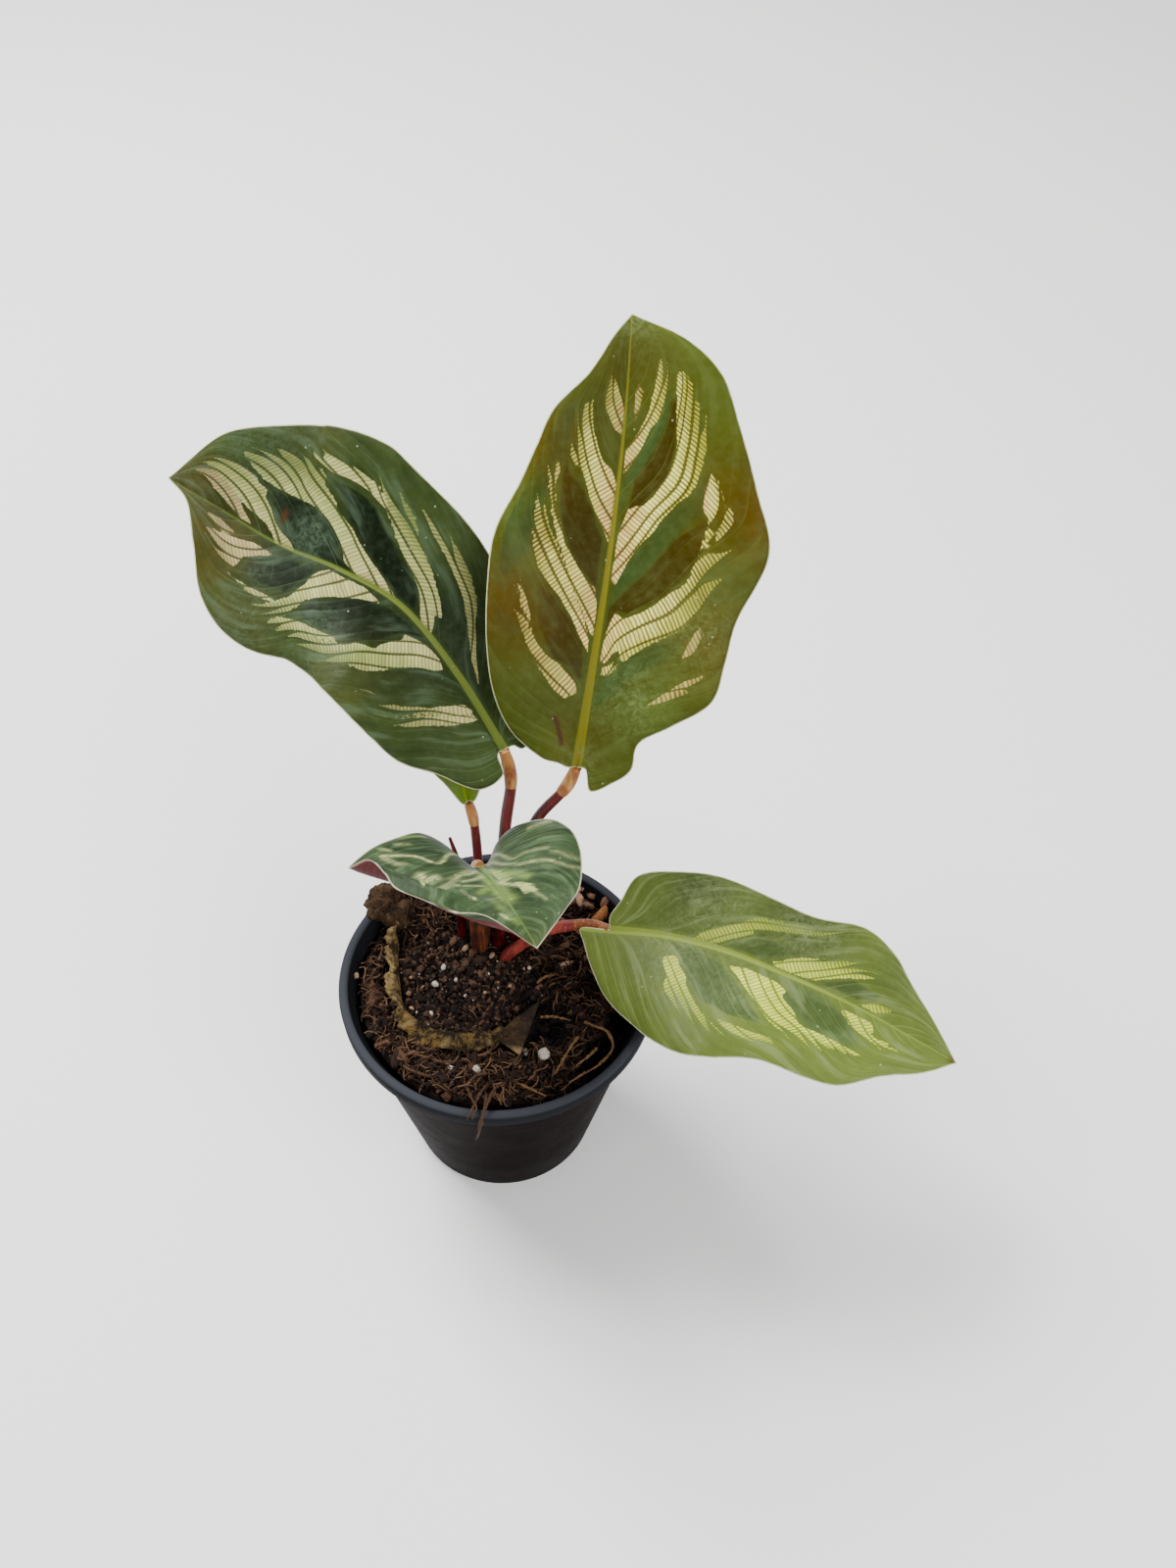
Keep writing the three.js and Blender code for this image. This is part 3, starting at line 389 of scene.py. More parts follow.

# Brushed strokes as (kind, reach in millimetres, amount, points along and across the blade); on the
# front blade the pale strokes are partly pale streaks and partly painted highlights
STROKES = {
    "top": [("scar", .45, .9, [(.223, -.69), (.195, -.73), (.163, -.8)])],
    "left": [("scar", .5, .9, [(.715, .25), (.715, .18)])],
    "right": [("scar", .7, .5, [(.985, .1), (.995, .05)])],
    "front": [
        ("pale", .3, 1, [(.04, 1), (.33, .59), (.38, .75), (.42, .85), (.44, .91)]),
        ("pale", .45, .6, [(.44, .88), (.44, .78), (.43, .74)]),
        ("pale", .8, .9, [(.45, .59), (.46, .53), (.44, .5)]),
        ("pale", .7, .55, [(.51, .45), (.47, .4), (.42, .38), (.36, .36), (.28, .31)]),
        ("pale", .35, .9, [(.38, .39), (.33, .31), (.25, .28)]),
        ("pale", .35, .8, [(.41, .31), (.35, .23), (.28, .16)]),
        ("pale", .25, .7, [(.45, .35), (.44, .29), (.4, .14)]),
        ("pale", .4, .9, [(.29, .01), (.41, -.11), (.51, -.21), (.59, -.3)]),
        ("pale", .3, .6, [(.59, -.3), (.65, -.32), (.73, -.41)]),
        ("pale", .35, .5, [(.04, -1), (.28, -.49), (.39, -.59), (.49, -.71)]),
        ("pale", .35, .8, [(.39, -.41), (.46, -.51), (.57, -.65)]),
        ("pale", .35, .5, [(.07, -.6), (.24, -.38), (.38, -.41)]),
        ("pale", .5, .5, [(.35, -.9), (.39, -.94), (.43, -.97)]),
        ("pale", .4, .4, [(.52, -.7), (.62, -.82), (.68, -.94)]),
        ("pale", .3, .45, [(.59, -.66), (.66, -.78), (.72, -.94)]),
        ("pale", .35, .8, [(.72, .14), (.77, .11)]),
        ("pale", .25, .7, [(.59, .3), (.6, .26)]),
        ("pale", .35, .5, [(.42, .96), (.41, .9)]),
        ("pale", .35, .4, [(.38, .93), (.35, .89)]),
        ("pale", .3, .4, [(.47, .29), (.51, .25), (.6, .29)]),
        ("gold", 1.3, .9, [(.24, .15), (.32, .05), (.45, .01), (.57, -.01)]),
        ("gold", .8, .7, [(.13, -.07), (.34, -.24), (.5, -.34)]),
        ("gold", .9, .6, [(.47, .15), (.39, .07)]),
        ("gold", .4, .7, [(.35, .99), (.32, .96), (.29, .93)]),
        ("gold", .8, .4, [(.57, .12), (.66, .09), (.8, .05)]),
        ("shade", .6, .9, [(.41, .94), (.38, .84), (.33, .75), (.28, .62), (.2, .65)]),
        ("shade", .6, .6, [(.3, 1), (.26, .89), (.2, .85)]),
        ("shade", .45, .7, [(.42, .74), (.39, .62), (.3, .49), (.2, .53)]),
        ("shade", .6, .6, [(.43, .73), (.46, .66), (.5, .65)]),
        ("shade", .4, .8, [(.43, .38), (.42, .3), (.34, .1)]),
        ("shade", .8, .55, [(.48, .29), (.48, .19), (.45, .15)]),
        ("shade", .35, .8, [(.06, -1), (.24, -.59), (.33, -.69), (.4, -.74)]),
        ("shade", .55, .6, [(.2, -.31), (.41, -.38), (.57, -.52)]),
        ("shade", .9, .65, [(.45, -.07), (.59, -.17), (.73, -.31)]),
        ("shade", 1, .6, [(.62, -.59), (.67, -.78), (.69, -.93)]),
        ("shade", .6, .6, [(.4, -.65), (.47, -.75)]),
        ("shade", 1.3, .4, [(.57, .12), (.67, .15), (.71, .09)]),
        ("shade", 1, .5, [(.6, .96), (.52, .75), (.68, .89)]),
        ("shade", .8, .4, [(.7, -.45), (.74, -.65), (.75, -.85)]),
        ("shade", .35, .6, [(.08, -1), (.25, -.66), (.35, -.78)]),
    ],
}

# Stalks, from below the soil to the foot of each blade; the red turns yellow at the collar
STALKS = {
    "left": {
        "radius": 1.1, "joint": 1.15, "collar": 86.5,
        "points": [
            [-0.6, 9.2, 40], [-0.4, 9.6, 45], [0, 10.4, 56], [0.7, 11.3, 68], [1.6, 12.8, 78.6],
            [2.6, 14, 86.7], [2.3, 14.8, 91], [1.5, 15.5, 94.3],
        ],
    },
    "top": {
        "radius": 1.0, "joint": 1.15, "collar": 86.2,
        "points": [
            [2.3, 11.4, 40], [2.4, 11.6, 45], [2.6, 11.9, 56], [4.2, 12.4, 67], [6.9, 12.8, 78.5],
            [11.6, 13, 86.4], [13, 13.1, 89.3], [14.1, 13.2, 92.9],
        ],
    },
    "front": {
        "radius": 0.95, "joint": 1.05, "collar": 75,
        "points": [
            [-4.6, 8.8, 40], [-4.4, 8.6, 45], [-3.9, 8.4, 56], [-3.7, 7, 67], [-3.3, 4.4, 75],
            [-2.8, 1.9, 79.2], [-2.1, 0, 81.3],
        ],
    },
    "right": {
        "radius": 1.15, "joint": 1.1, "collar": 55.8,
        "points": [
            [0.6, 6.8, 40], [1.2, 6.4, 45.4], [4.2, 6.4, 49.4], [9, 6.6, 53.9], [13.5, 6.6, 55.6],
            [17.5, 6.1, 56.5], [20.8, 4.4, 57.6],
        ],
    },
    "young": {
        "radius": 0.9, "joint": 1.0, "collar": 74.5,
        "points": [
            [-3.6, 12.2, 40], [-3.6, 12.4, 45], [-4.1, 13.2, 56], [-4, 14, 64.5],
            [-4.4, 15.2, 74.5], [-5.3, 15.9, 79.9],
        ],
    },
}
SHOOT = [[-7.5, 11, 40], [-7.6, 11.4, 45], [-7.6, 12.2, 56], [-7.7, 12.9, 66], [-8.8, 13.2, 72.7]]
# The dry sheaths round the foot of the stalks
SHEATH = {"bottom": 42, "top": 57, "center": (-4.1, 10.4), "spread": (2, 3.9), "foot": 0.8}

# The pot's radii and heights, and its drain holes
POT = {
    "rim": 30, "height": 48, "base": 18.5, "wall_top": 27.9, "wall": 1, "floor": 1.4, "lip": 3.6,
    "mouth": 28.2,
}
DRAIN = {"radius": 2.2, "ring": 12, "count": 6}

# The soil: its level, its forms as (x, y, reach, rise), the clods of the heap as (x, y, z, radius),
# the larger grains as (x, y, radius) and the single roots
SOIL_LEVEL = 44.8
SOIL_FORMS = [
    [-21, 15.5, 4, 3], [-2, -22.5, 6, 1.8], [-16, -18, 8, 1.2], [-24, -4, 5, 1],
    [9.5, -7.5, 4.5, -7], [21, -15.5, 6, -7], [24.5, -6, 4, -5], [2, 2, 8, 0.6],
    [6.5, -2.5, 2.6, -4], [8, 2.5, 2.4, -4],
    [19, 15, 9, 1], [-12, 2, 9, -0.8], [12, -25, 4, -5], [3.5, -12.8, 3, -3],
]
HEAP = [
    [-20.6, 15, 46.9, 3.4], [-23.4, 16.4, 49, 3], [-21.3, 18, 49.6, 2.3], [-24.2, 13.8, 48.6, 1.9],
    [-22.6, 16.8, 51.2, 1.7],
]
PERLITE = [
    [-19.7, 12.6, 0.6], [-16.7, 11.2, 0.4], [-14.3, 9.9, 0.45], [-9.3, 9.4, 0.75], [-6.8, 8, 0.65],
    [-10.8, 4, 0.6], [-12.1, 0.6, 0.8], [-17, -2, 0.6], [-16.8, 1.6, 0.35], [-16, -5.4, 0.45],
    [-12.2, -6.7, 0.4], [-1.6, 6.3, 0.6], [-3.2, 8.6, 0.5], [-3.6, 2.4, 0.55], [-2.4, -2.2, 0.5],
    [-8.2, 1.2, 0.4], [-14.6, -0.3, 0.3], [-23, 16, 0.5], [3.7, -4.5, 0.65], [2.2, -0.3, 0.5],
    [5.7, 4, 0.5], [12.4, 7.6, 0.4], [20.7, -5.1, 0.35], [12.7, -16, 0.6], [-2.8, -19.4, 0.8],
    [-7.4, -19.2, 0.6], [-27, 0.9, 0.6], [9.2, -15.4, 1.5], [5.7, -13.4, 0.9], [23.2, -8.5, 0.4],
    [-6.1, -2.1, 0.4], [-13.8, 6, 0.35], [-11.9, 8.6, 0.4], [-0.1, 0.7, 0.35], [-20.2, 9.3, 0.35],
]
BARK = [
    [15.2, 19.3, 1.2], [18.9, 15.4, 1.7], [12.4, 14.5, 1.1], [20, 19, 1.1], [11.5, 13.7, 0.8],
    [13.6, 19.1, 1], [16.7, 17.9, 1], [22.3, 14.1, 1], [10.2, 16.6, 0.9], [14.1, 21.6, 1.1],
    [17.3, 20.4, 0.9], [22.5, 9, 1.1], [7.7, 0.7, 0.8], [13, 4.6, 0.8], [17, 6, 0.9],
]
FIBRES = [
    [[-1.5, -22, 45.4], [-0.6, -26, 48.4], [-0.9, -29.4, 49.2], [-1.4, -31.2, 46.6], [-2.4, -31, 41.5]],
    [[0.5, -20.8, 45.6], [-1.4, -25, 48.7], [-3, -29.2, 49], [-3.8, -30.9, 48.6]],
    [[-5.4, -24, 45.8], [-2.6, -21.3, 47.6], [1.2, -20, 46], [2.6, -19.2, 45]],
    [[3.1, -20.6, 45.8], [0.8, -24.4, 48.2], [-0.4, -28.4, 49.3], [-1.6, -31, 47.4], [-1.7, -31.2, 45]],
    [[-4.6, -22, 45.8], [-3.4, -26, 48.2], [-2.2, -28.8, 49.2], [-2.8, -30.6, 48.6]],
    [[3.3, -21.2, 46], [6.4, -23, 46.8], [9.9, -25.2, 47.6]],
    [[15.4, -11.5, 45.6], [13.7, -15.3, 47], [11.2, -19.5, 45.4]],
    [[18.9, -13.3, 44.6], [17.3, -16.3, 46.6], [15, -17.8, 45.6]],
    [[16.6, -7.9, 45], [18.1, -9.3, 46.2], [20.9, -11, 46.6], [21.8, -14.1, 46], [19.2, -17.7, 46],
     [15.6, -20.4, 46.4], [12.5, -22.6, 45]],
    [[8.4, -7.4, 45.6], [10.8, -8, 46.8], [13.9, -8.4, 46.4]],
    [[7.4, 0.4, 45.6], [9, 1.2, 46.4], [11.2, 2.2, 45.8]],
    [[-18, -17, 45], [-14.5, -20.5, 47.4], [-9, -21, 45]],
    [[-13, -16.4, 45.6], [-9, -18.4, 47.2], [-5, -17, 45.6]],
]
# The starter plug's ring
PLUG = {"center": (-6, 0.5), "radius": 13.5, "flattened": 1.05}
# The paper sleeve: its path in plan, its reach to both sides of it, the heights of its foot, waist,
# neck, edge and upright fold, and the corners of its scrap
WRAP_PATH = [
    [-20.3, 13.4], [-21.2, 9.6], [-21, 5.2], [-20.2, -0.1], [-19.2, -4.5], [-17.1, -8.7],
    [-13.5, -11.8], [-9.8, -13], [-6.2, -13.3], [-0.8, -12.6], [1.8, -10.4],
]
WRAP_REACH = {"inward": 2.2, "outward": 1.9}
WRAP_HEIGHTS = (41.5, 43.8, 45.5, 46.9, 47, 48)
WRAP_SCRAP = [[-0.6, -11.9, 45.4], [8, -4.2, 46], [4.8, -15.6, 45.6]]


# Curves and noise
def catmull(points, t):
    """Points on a smooth curve through all the given points, at t from 0 to 1."""
    p = np.asarray(points, float)
    n = len(p) - 1
    padded = np.vstack([2 * p[0] - p[1], p, 2 * p[-1] - p[-2]])
    x = np.clip(np.asarray(t, float), 0, 1) * n
    i = np.minimum(x.astype(int), n - 1)
    f = (x - i)[..., None]
    a, b, c, d = padded[i], padded[i + 1], padded[i + 2], padded[i + 3]
    return .5 * (2 * b + (c - a) * f + (2 * a - 5 * b + 4 * c - d) * f ** 2
                 + (3 * b - a - 3 * c + d) * f ** 3)


def even_curve(points, count):
    """The same curve, as count points at equal distances along it."""
    fine = catmull(points, np.linspace(0, 1, 400))
    steps = np.r_[0, np.cumsum(np.linalg.norm(np.diff(fine, axis=0), axis=1))]
    at = np.linspace(0, steps[-1], count)
    return np.stack([np.interp(at, steps, fine[:, k]) for k in range(fine.shape[1])], -1)


def unit(v):
    return v / np.maximum(np.linalg.norm(v, axis=-1, keepdims=True), 1e-9)


def smoothstep(x, low, high):
    f = np.clip((x - low) / (high - low), 0, 1)
    return f * f * (3 - 2 * f)


def plane_noise(x, y):
    """Smooth noise from -1 to 1 over the plane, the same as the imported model's."""
    i, j = np.floor(x), np.floor(y)
    u, v = smoothstep(x - i, 0, 1), smoothstep(y - j, 0, 1)

    def corner(a, b):
        wave = np.sin(a * 127.1 + b * 311.7) * 43758.5453
        return 2 * (wave - np.floor(wave)) - 1
    low = corner(i, j) * (1 - u) + corner(i + 1, j) * u
    high = corner(i, j + 1) * (1 - u) + corner(i + 1, j + 1) * u
    return low * (1 - v) + high * v


def segment_distance(points, line):
    """The distance from each point to a chain of segments."""
    best = np.full(len(points), 1e9)
    for a, b in zip(line[:-1], line[1:]):
        ab = b - a
        f = np.clip(((points - a) @ ab) / max(ab @ ab, 1e-12), 0, 1)
        best = np.minimum(best, np.linalg.norm(points - a - f[:, None] * ab, axis=1))
    return best


# The blade's surface
def forward_share(straight, k):
    """How much of its forward reach a vein has made at a share k across."""
    return straight * k + (1 - straight) * k ** 2


class Blade:
    """The middle surface of a blade, addressed by t along it and s across it, -1 to 1."""

    def __init__(self, name):
        self.name = name
        self.leaf = LEAVES[name]
        fine = catmull(self.leaf["spine"], np.linspace(0, 1, 401))
        self.spine = fine
        self.steps = np.r_[0, np.cumsum(np.linalg.norm(np.diff(fine, axis=0), axis=1))]
        self.length = self.steps[-1]
        self.tangent = unit(np.gradient(fine, axis=0))
        self.margin = {}
        for side in ("left", "right"):
            rows = [list(p) + [0] * (3 - len(p)) for p in self.leaf[side]]
            self.margin[side] = [[0, 0, 0], *rows, [self.length, 0, 0]]

    def frame_at(self, u):
        inside = np.clip(u, 0, self.length)
        place = np.stack([np.interp(inside, self.steps, self.spine[:, k]) for k in range(3)], -1)
        along = np.stack([np.interp(inside, self.steps, self.tangent[:, k]) for k in range(3)], -1)
        along = unit(along)
        place = place + along * (u - inside)[..., None]
        flat_out = unit(np.cross(along, self.leaf["face"]))
        flat_up = np.cross(flat_out, along)
        roll = self.leaf["roll"]
        turn = np.radians(np.interp(inside / self.length, np.linspace(0, 1, len(roll)), roll))
        turn = turn[..., None]
        out = flat_out * np.cos(turn) + flat_up * np.sin(turn)
        up = flat_up * np.cos(turn) - flat_out * np.sin(turn)
        return place, out, up

    def along_out(self, t, s):
        """Millimetres along the midrib and out from it, and the margin's lift."""
        m = np.where((s >= 0)[..., None], catmull(self.margin["right"], t),
                     catmull(self.margin["left"], t))
        k = np.abs(s)
        foot = t * self.length
        return foot + (m[..., 0] - foot) * k ** 1.5, m[..., 1] * k, m[..., 2]

    def surface(self, t, s):
        """Points of the middle surface, and the direction that its upper face looks to."""
        leaf = self.leaf
        k = np.abs(s)
        u, v, rise = self.along_out(t, s)
        right = s >= 0
        fold = np.radians(np.where(right, leaf["fold"]["right"], leaf["fold"]["left"]))
        phase = np.where(right, leaf["wave"]["right"], leaf["wave"]["left"])
        swell = np.sqrt(np.maximum(np.sin(np.pi * np.clip(t, 0, 1)), 0))
        ripple = (leaf["wave"]["height"] * k ** 2 * swell
                  * np.sin(2 * np.pi * (leaf["wave"]["cycles"] * t + phase)))
        camber = leaf["camber"] * np.sin(np.pi * k) * v / 20
        lift = rise * k ** 1.3 + v * np.sin(fold) + ripple + camber
        place, out, up = self.frame_at(u)
        point = place + out * (np.sign(s) * v * np.cos(fold))[..., None] + up * lift[..., None]
        return point, up

    def veins(self, right):
        return VEINS.get(self.name, {}).get("right" if right else "left", PLAIN_VEINS)

    def vein_of(self, t, s):
        """The place on the midrib, 0 to 1, whose lateral vein passes each point."""
        u, _, _ = self.along_out(t, s)
        x = u / self.length
        k = np.abs(s)
        result = np.zeros_like(x)
        grid = np.linspace(-.6, 1.1, 1200)
        for right in (True, False):
            knots, reach, straight = self.veins(right)
            reaches = np.interp(grid, knots, reach)
            mask = (s >= 0) == right
            for value in np.unique(np.round(k[mask], 4)):
                row = mask & (np.abs(k - value) < 6e-5)
                swept = grid + reaches * forward_share(straight, value)
                result[row] = np.interp(x[row], swept, grid)
        return result

    def on_veins(self, q, k, right):
        """Points of the surface at places q along the midrib, a share k out along their veins."""
        q, k = np.asarray(q, float), np.asarray(k, float)
        knots, reach, straight = self.veins(right)
        want = q + np.interp(q, knots, reach) * forward_share(straight, k)
        fine = np.linspace(0, 1, 500)
        sign = 1 if right else -1
        t = np.empty_like(q)
        for i, share in enumerate(k):
            u, _, _ = self.along_out(fine, np.full(500, sign * max(share, 1e-4)))
            order = np.argsort(u)
            t[i] = np.interp(want[i] * self.length, u[order], fine[order])
        return self.surface(t, sign * np.maximum(k, 1e-4))[0]


def area_distance(blade, points, q, s, right, rows):
    """Signed distance in millimetres to the edge of an area, above 0 inside it."""
    shares, lows, highs = np.array(rows).T
    near = np.linspace(shares[0], shares[-1], 40)
    low, high = np.interp(near, shares, lows), np.interp(near, shares, highs)
    ring_q = np.r_[low, high[::-1], low[:1]]
    ring_k = np.r_[near, near[::-1], near[:1]]
    distance = segment_distance(points, blade.on_veins(ring_q, ring_k, right))
    k = np.abs(s)
    inside = (k >= shares[0]) & (k <= shares[-1]) & ((s >= 0) == right)
    inside &= (q > np.interp(k, shares, lows)) & (q < np.interp(k, shares, highs))
    return np.where(inside, distance, -distance)


def blob_field(blade, points, spots):
    """How much each point lies within soft round spots, from 0 to 1."""
    field = np.zeros(len(points))
    for q, s, reach, amount in spots:
        center = blade.on_veins([q], [abs(s)], s > 0)[0]
        far = np.linalg.norm(points - center, axis=1) / reach
        field = np.maximum(field, amount * np.exp(-far ** 2))
    return field


def lane_places():
    """Places along the midrib of the fine veins that part a window into fingers."""
    luck = np.random.default_rng(5).uniform(-0.18, 0.18, 60)
    return (np.arange(-20, 40) + luck) * FINGER_SPACING


def run_out(blade, q, k, v, last, right):
    """Millimetres along each vein to the share across where a window ends."""
    knots, reach, straight = blade.veins(right)
    forward = np.interp(q, knots, reach) * blade.length
    per_share = v / np.maximum(k, .02)

    def along(share):
        return np.hypot(forward * forward_share(straight, share), per_share * share)
    return along(last) - along(k)


def window_values(blade, points, q, s, v):
    """Which window each point lies in, how deep, and how far along its finger it is."""
    k = np.abs(s)
    values = {key: np.zeros(len(s)) for key in ("strength", "warmth", "outer", "pane", "end")}
    values["window"] = np.full(len(s), FAR_OUTSIDE)
    for side, on_right in (("left", False), ("right", True)):
        for number, (power, warm, rows) in enumerate(WINDOWS[blade.name][side]):
            distance = area_distance(blade, points, q, s, on_right, rows)
            first, last = rows[0][0], rows[-1][0]
            ending = run_out(blade, q, k, v, last, on_right)
            whole = ending - run_out(blade, q, k, v, first, on_right)
            here = {
                "window": distance, "strength": power, "warmth": warm,
                "outer": np.clip((k - first) / (last - first), 0, 1),
                "end": ending / np.clip(whole / FULL_TAPER, 0.2, 1), "pane": number + 20 * on_right,
            }
            better = distance > values["window"]
            for key, value in here.items():
                values[key] = np.where(better, value, values[key])
    return values


def rung_values(blade, q, s, v):
    """Millimetres out along each vein, begun so that the rungs cross the veins squarely."""
    k = np.abs(s)
    rung, span = np.zeros(len(s)), np.zeros(len(s))
    grid = np.linspace(-.6, 1.1, 600)
    for on_right in (True, False):
        half = (s >= 0) == on_right
        knots, reach, straight = blade.veins(on_right)
        forward = np.interp(grid, knots, reach) * straight * blade.length
        widest = np.percentile(v[half] / np.maximum(k[half], .05), 75)
        leaning = forward / np.hypot(forward, widest)
        start = np.r_[0, np.cumsum(np.diff(grid) * blade.length * (leaning[1:] + leaning[:-1]) / 2)]
        sweep = np.interp(q, knots, reach) * forward_share(straight, k) * blade.length
        rung[half] = (np.hypot(sweep, v) + np.interp(q, grid, start))[half]
        slope = np.sqrt(1 - np.interp(q, grid, leaning) ** 2)
        span[half] = FINGER_SPACING * blade.length * slope[half]
    return {"rung": rung, "span": span}


def blade_attributes(blade, t, s, points):
    """The values that the leaf material reads, one number for each point."""
    q = blade.vein_of(t, s)
    u, v, _ = blade.along_out(t, s)
    along = u / blade.length
    values = {**window_values(blade, points, q, s, v), **rung_values(blade, q, s, v)}
    places = lane_places()
    values["lane"] = np.interp(q, places, np.arange(len(places)))
    values["along"], values["across"] = along, s
    values["rib"] = v / (0.12 + RIB_WIDTH[blade.name] * np.clip(1 - along, 0, 1) ** 1.3)
    for kind in ("dark", "teal"):
        values[kind] = np.full(len(s), FAR_OUTSIDE)
    for side, zones in ZONES.get(blade.name, {}).items():
        for kind, rows in zones:
            distance = area_distance(blade, points, q, s, side == "right", rows)
            values[kind] = np.maximum(values[kind], distance)
    for kind in ("pale", "gold", "shade", "scar"):
        values[kind] = np.zeros(len(s))
    for kind, reach, amount, path in STROKES.get(blade.name, []):
        line = catmull(path, np.linspace(0, 1, 5 * len(path)))
        line = blade.surface(line[:, 0], line[:, 1])[0]
        stroke = amount * np.exp(-(segment_distance(points, line) / reach) ** 2)
        values[kind] = np.maximum(values[kind], stroke)
    fine = np.linspace(0, 1, 220)
    edges = [blade.surface(fine, np.full(220, side))[0] for side in (1.0, -1.0)]
    values["margin"] = np.minimum(*(segment_distance(points, edge) for edge in edges))
    for key, table in (("stain", STAINS), ("haze", HAZE_AND_SHEEN)):
        values[key] = blob_field(blade, points, table.get(blade.name, []))
    return values


def blade_faces(steps, width):
    """Faces of a blade's two sides and its edge, from the foot's point over the rows to the tip's."""
    tip = 1 + (steps - 1) * width
    count = tip + 1
    faces = []

    def at(i, j):
        return 1 + (i - 1) * width + j

    def both(*corners):
        faces.append(corners)
        faces.append(tuple(count + c for c in reversed(corners)))
    for j in range(width - 1):
        both(0, at(1, j + 1), at(1, j))
        both(tip, at(steps - 1, j), at(steps - 1, j + 1))
        for i in range(1, steps - 1):
            both(at(i, j), at(i, j + 1), at(i + 1, j + 1), at(i + 1, j))
    left = [0, *(at(i, 0) for i in range(1, steps)), tip]
    right = [0, *(at(i, width - 1) for i in range(1, steps)), tip]
    faces += [(a, b, count + b, count + a) for a, b in zip(left, left[1:])]
    faces += [(c, count + c, count + d, d) for c, d in zip(right, right[1:])]
    return faces


def blade_mesh(name, steps, half_steps, thickness):
    """A closed blade, with its veins' pattern kept as attributes on its points."""
    blade = Blade(name)
    across = [math.copysign((abs(j) / half_steps) ** CROWDING, j)
              for j in range(-half_steps, half_steps + 1)]
    width = len(across)
    along = np.linspace(0, 1, steps + 1)
    grid_t = np.r_[0, np.repeat(along[1:-1], width), 1]
    grid_s = np.r_[0, np.tile(across, steps - 1), 0]
    middle, up = blade.surface(grid_t, grid_s)
    _, v, _ = blade.along_out(grid_t, grid_s)
    values = blade_attributes(blade, grid_t, grid_s, middle)
    thin = THIN_MARGIN + (1 - THIN_MARGIN) * smoothstep(values["margin"], 0, 1.5)
    half = thickness / 2 * thin
    rib = RIB_DEPTH * np.exp(-(v / 1.1) ** 2) * smoothstep(grid_t, 0, .12) * (1 - grid_t)
    crease = CREASE_DEPTH * np.exp(-(v / 0.8) ** 2) * (1 - grid_t)
    top = middle + up * (half - crease)[:, None]
    low = middle - up * (half + rib)[:, None]
    piece = mesh_object(f"leaf_{name}", np.vstack([top, low]), blade_faces(steps, width))
    for key, value in values.items():
        store(piece, key, np.r_[value, value])
    store(piece, "under", np.repeat([0, 1], len(top)))
    return piece


# Objects
def new_object(name, data):
    piece = bpy.data.objects.new(name, data)
    bpy.context.scene.collection.objects.link(piece)
    return piece


def mesh_object(name, points, faces):
    """An object from points in millimetres, placed at the origin."""
    mesh = bpy.data.meshes.new(name)
    mesh.from_pydata((np.asarray(points, float) * MM).tolist(), [], [list(f) for f in faces])
    mesh.validate()
    mesh.polygons.foreach_set("use_smooth", [True] * len(mesh.polygons))
    return new_object(name, mesh)


def shell_object(name, shell):
    """An object from a bmesh, which is freed."""
    mesh = bpy.data.meshes.new(name)
    shell.to_mesh(mesh)
    shell.free()
    return new_object(name, mesh)


def ring_faces(first, rings, sides):
    """Faces between rings of points that follow one another from the first point."""
    faces = []
    for start in range(first, first + (rings - 1) * sides, sides):
        for j in range(sides):
            a, b = start + j, start + (j + 1) % sides
            faces.append((a, b, b + sides, a + sides))
    return faces


def fan_faces(middle, first, sides, flip=False):
    """Faces from a middle point to the ring of points that begins at first."""
    faces = [(middle, first + j, first + (j + 1) % sides) for j in range(sides)]
    return [face[::-1] for face in faces] if flip else faces


def store(piece, name, values):
    """Keeps one value for each point of a mesh, or the same value for all of them."""
    attribute = piece.data.attributes.new(name, "FLOAT", "POINT")
    filled = np.full(len(piece.data.vertices), values, np.float32)
    attribute.data.foreach_set("value", filled)


def turned_out(piece):
    """Turns all the faces of a closed piece outwards."""
    shell = bmesh.new()
    shell.from_mesh(piece.data)
    bmesh.ops.remove_doubles(shell, verts=shell.verts, dist=1e-7)
    bmesh.ops.recalc_face_normals(shell, faces=shell.faces)
    shell.to_mesh(piece.data)
    shell.free()
    piece.data.update()


def attach(piece, slot, *nodes, material=None):
    """Gives a piece its body and its material, and hides the nodes that it stands for; slot is not
    used.
    """
    if material:
        piece.data.materials.clear()
        piece.data.materials.append(material)
    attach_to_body(piece, "root")
    if nodes:
        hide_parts(*nodes)
    return piece


def made_plain(piece, name):
    """The evaluated result of a piece's modifiers as an object with a plain mesh."""
    bpy.context.view_layer.update()
    ready = piece.evaluated_get(bpy.context.evaluated_depsgraph_get())
    mesh = bpy.data.meshes.new_from_object(ready)
    mesh.name = name
    result = new_object(name, mesh)
    bpy.data.objects.remove(piece, do_unlink=True)
    return result


def with_nodes(piece, name, tree, **values):
    """Runs a geometry tree over a piece with the named inputs and returns its plain result."""
    modifier = piece.modifiers.new(name, "NODES")
    modifier.node_group = tree
    for socket in tree.interface.items_tree:
        if socket.item_type == "SOCKET" and socket.in_out == "INPUT":
            key = socket.name.lower().replace(" ", "_")
            if key in values:
                modifier[socket.identifier] = values[key]
    return made_plain(piece, name)


# Node trees
FLOAT, WHOLE, COLOUR = "NodeSocketFloat", "NodeSocketInt", "NodeSocketColor"


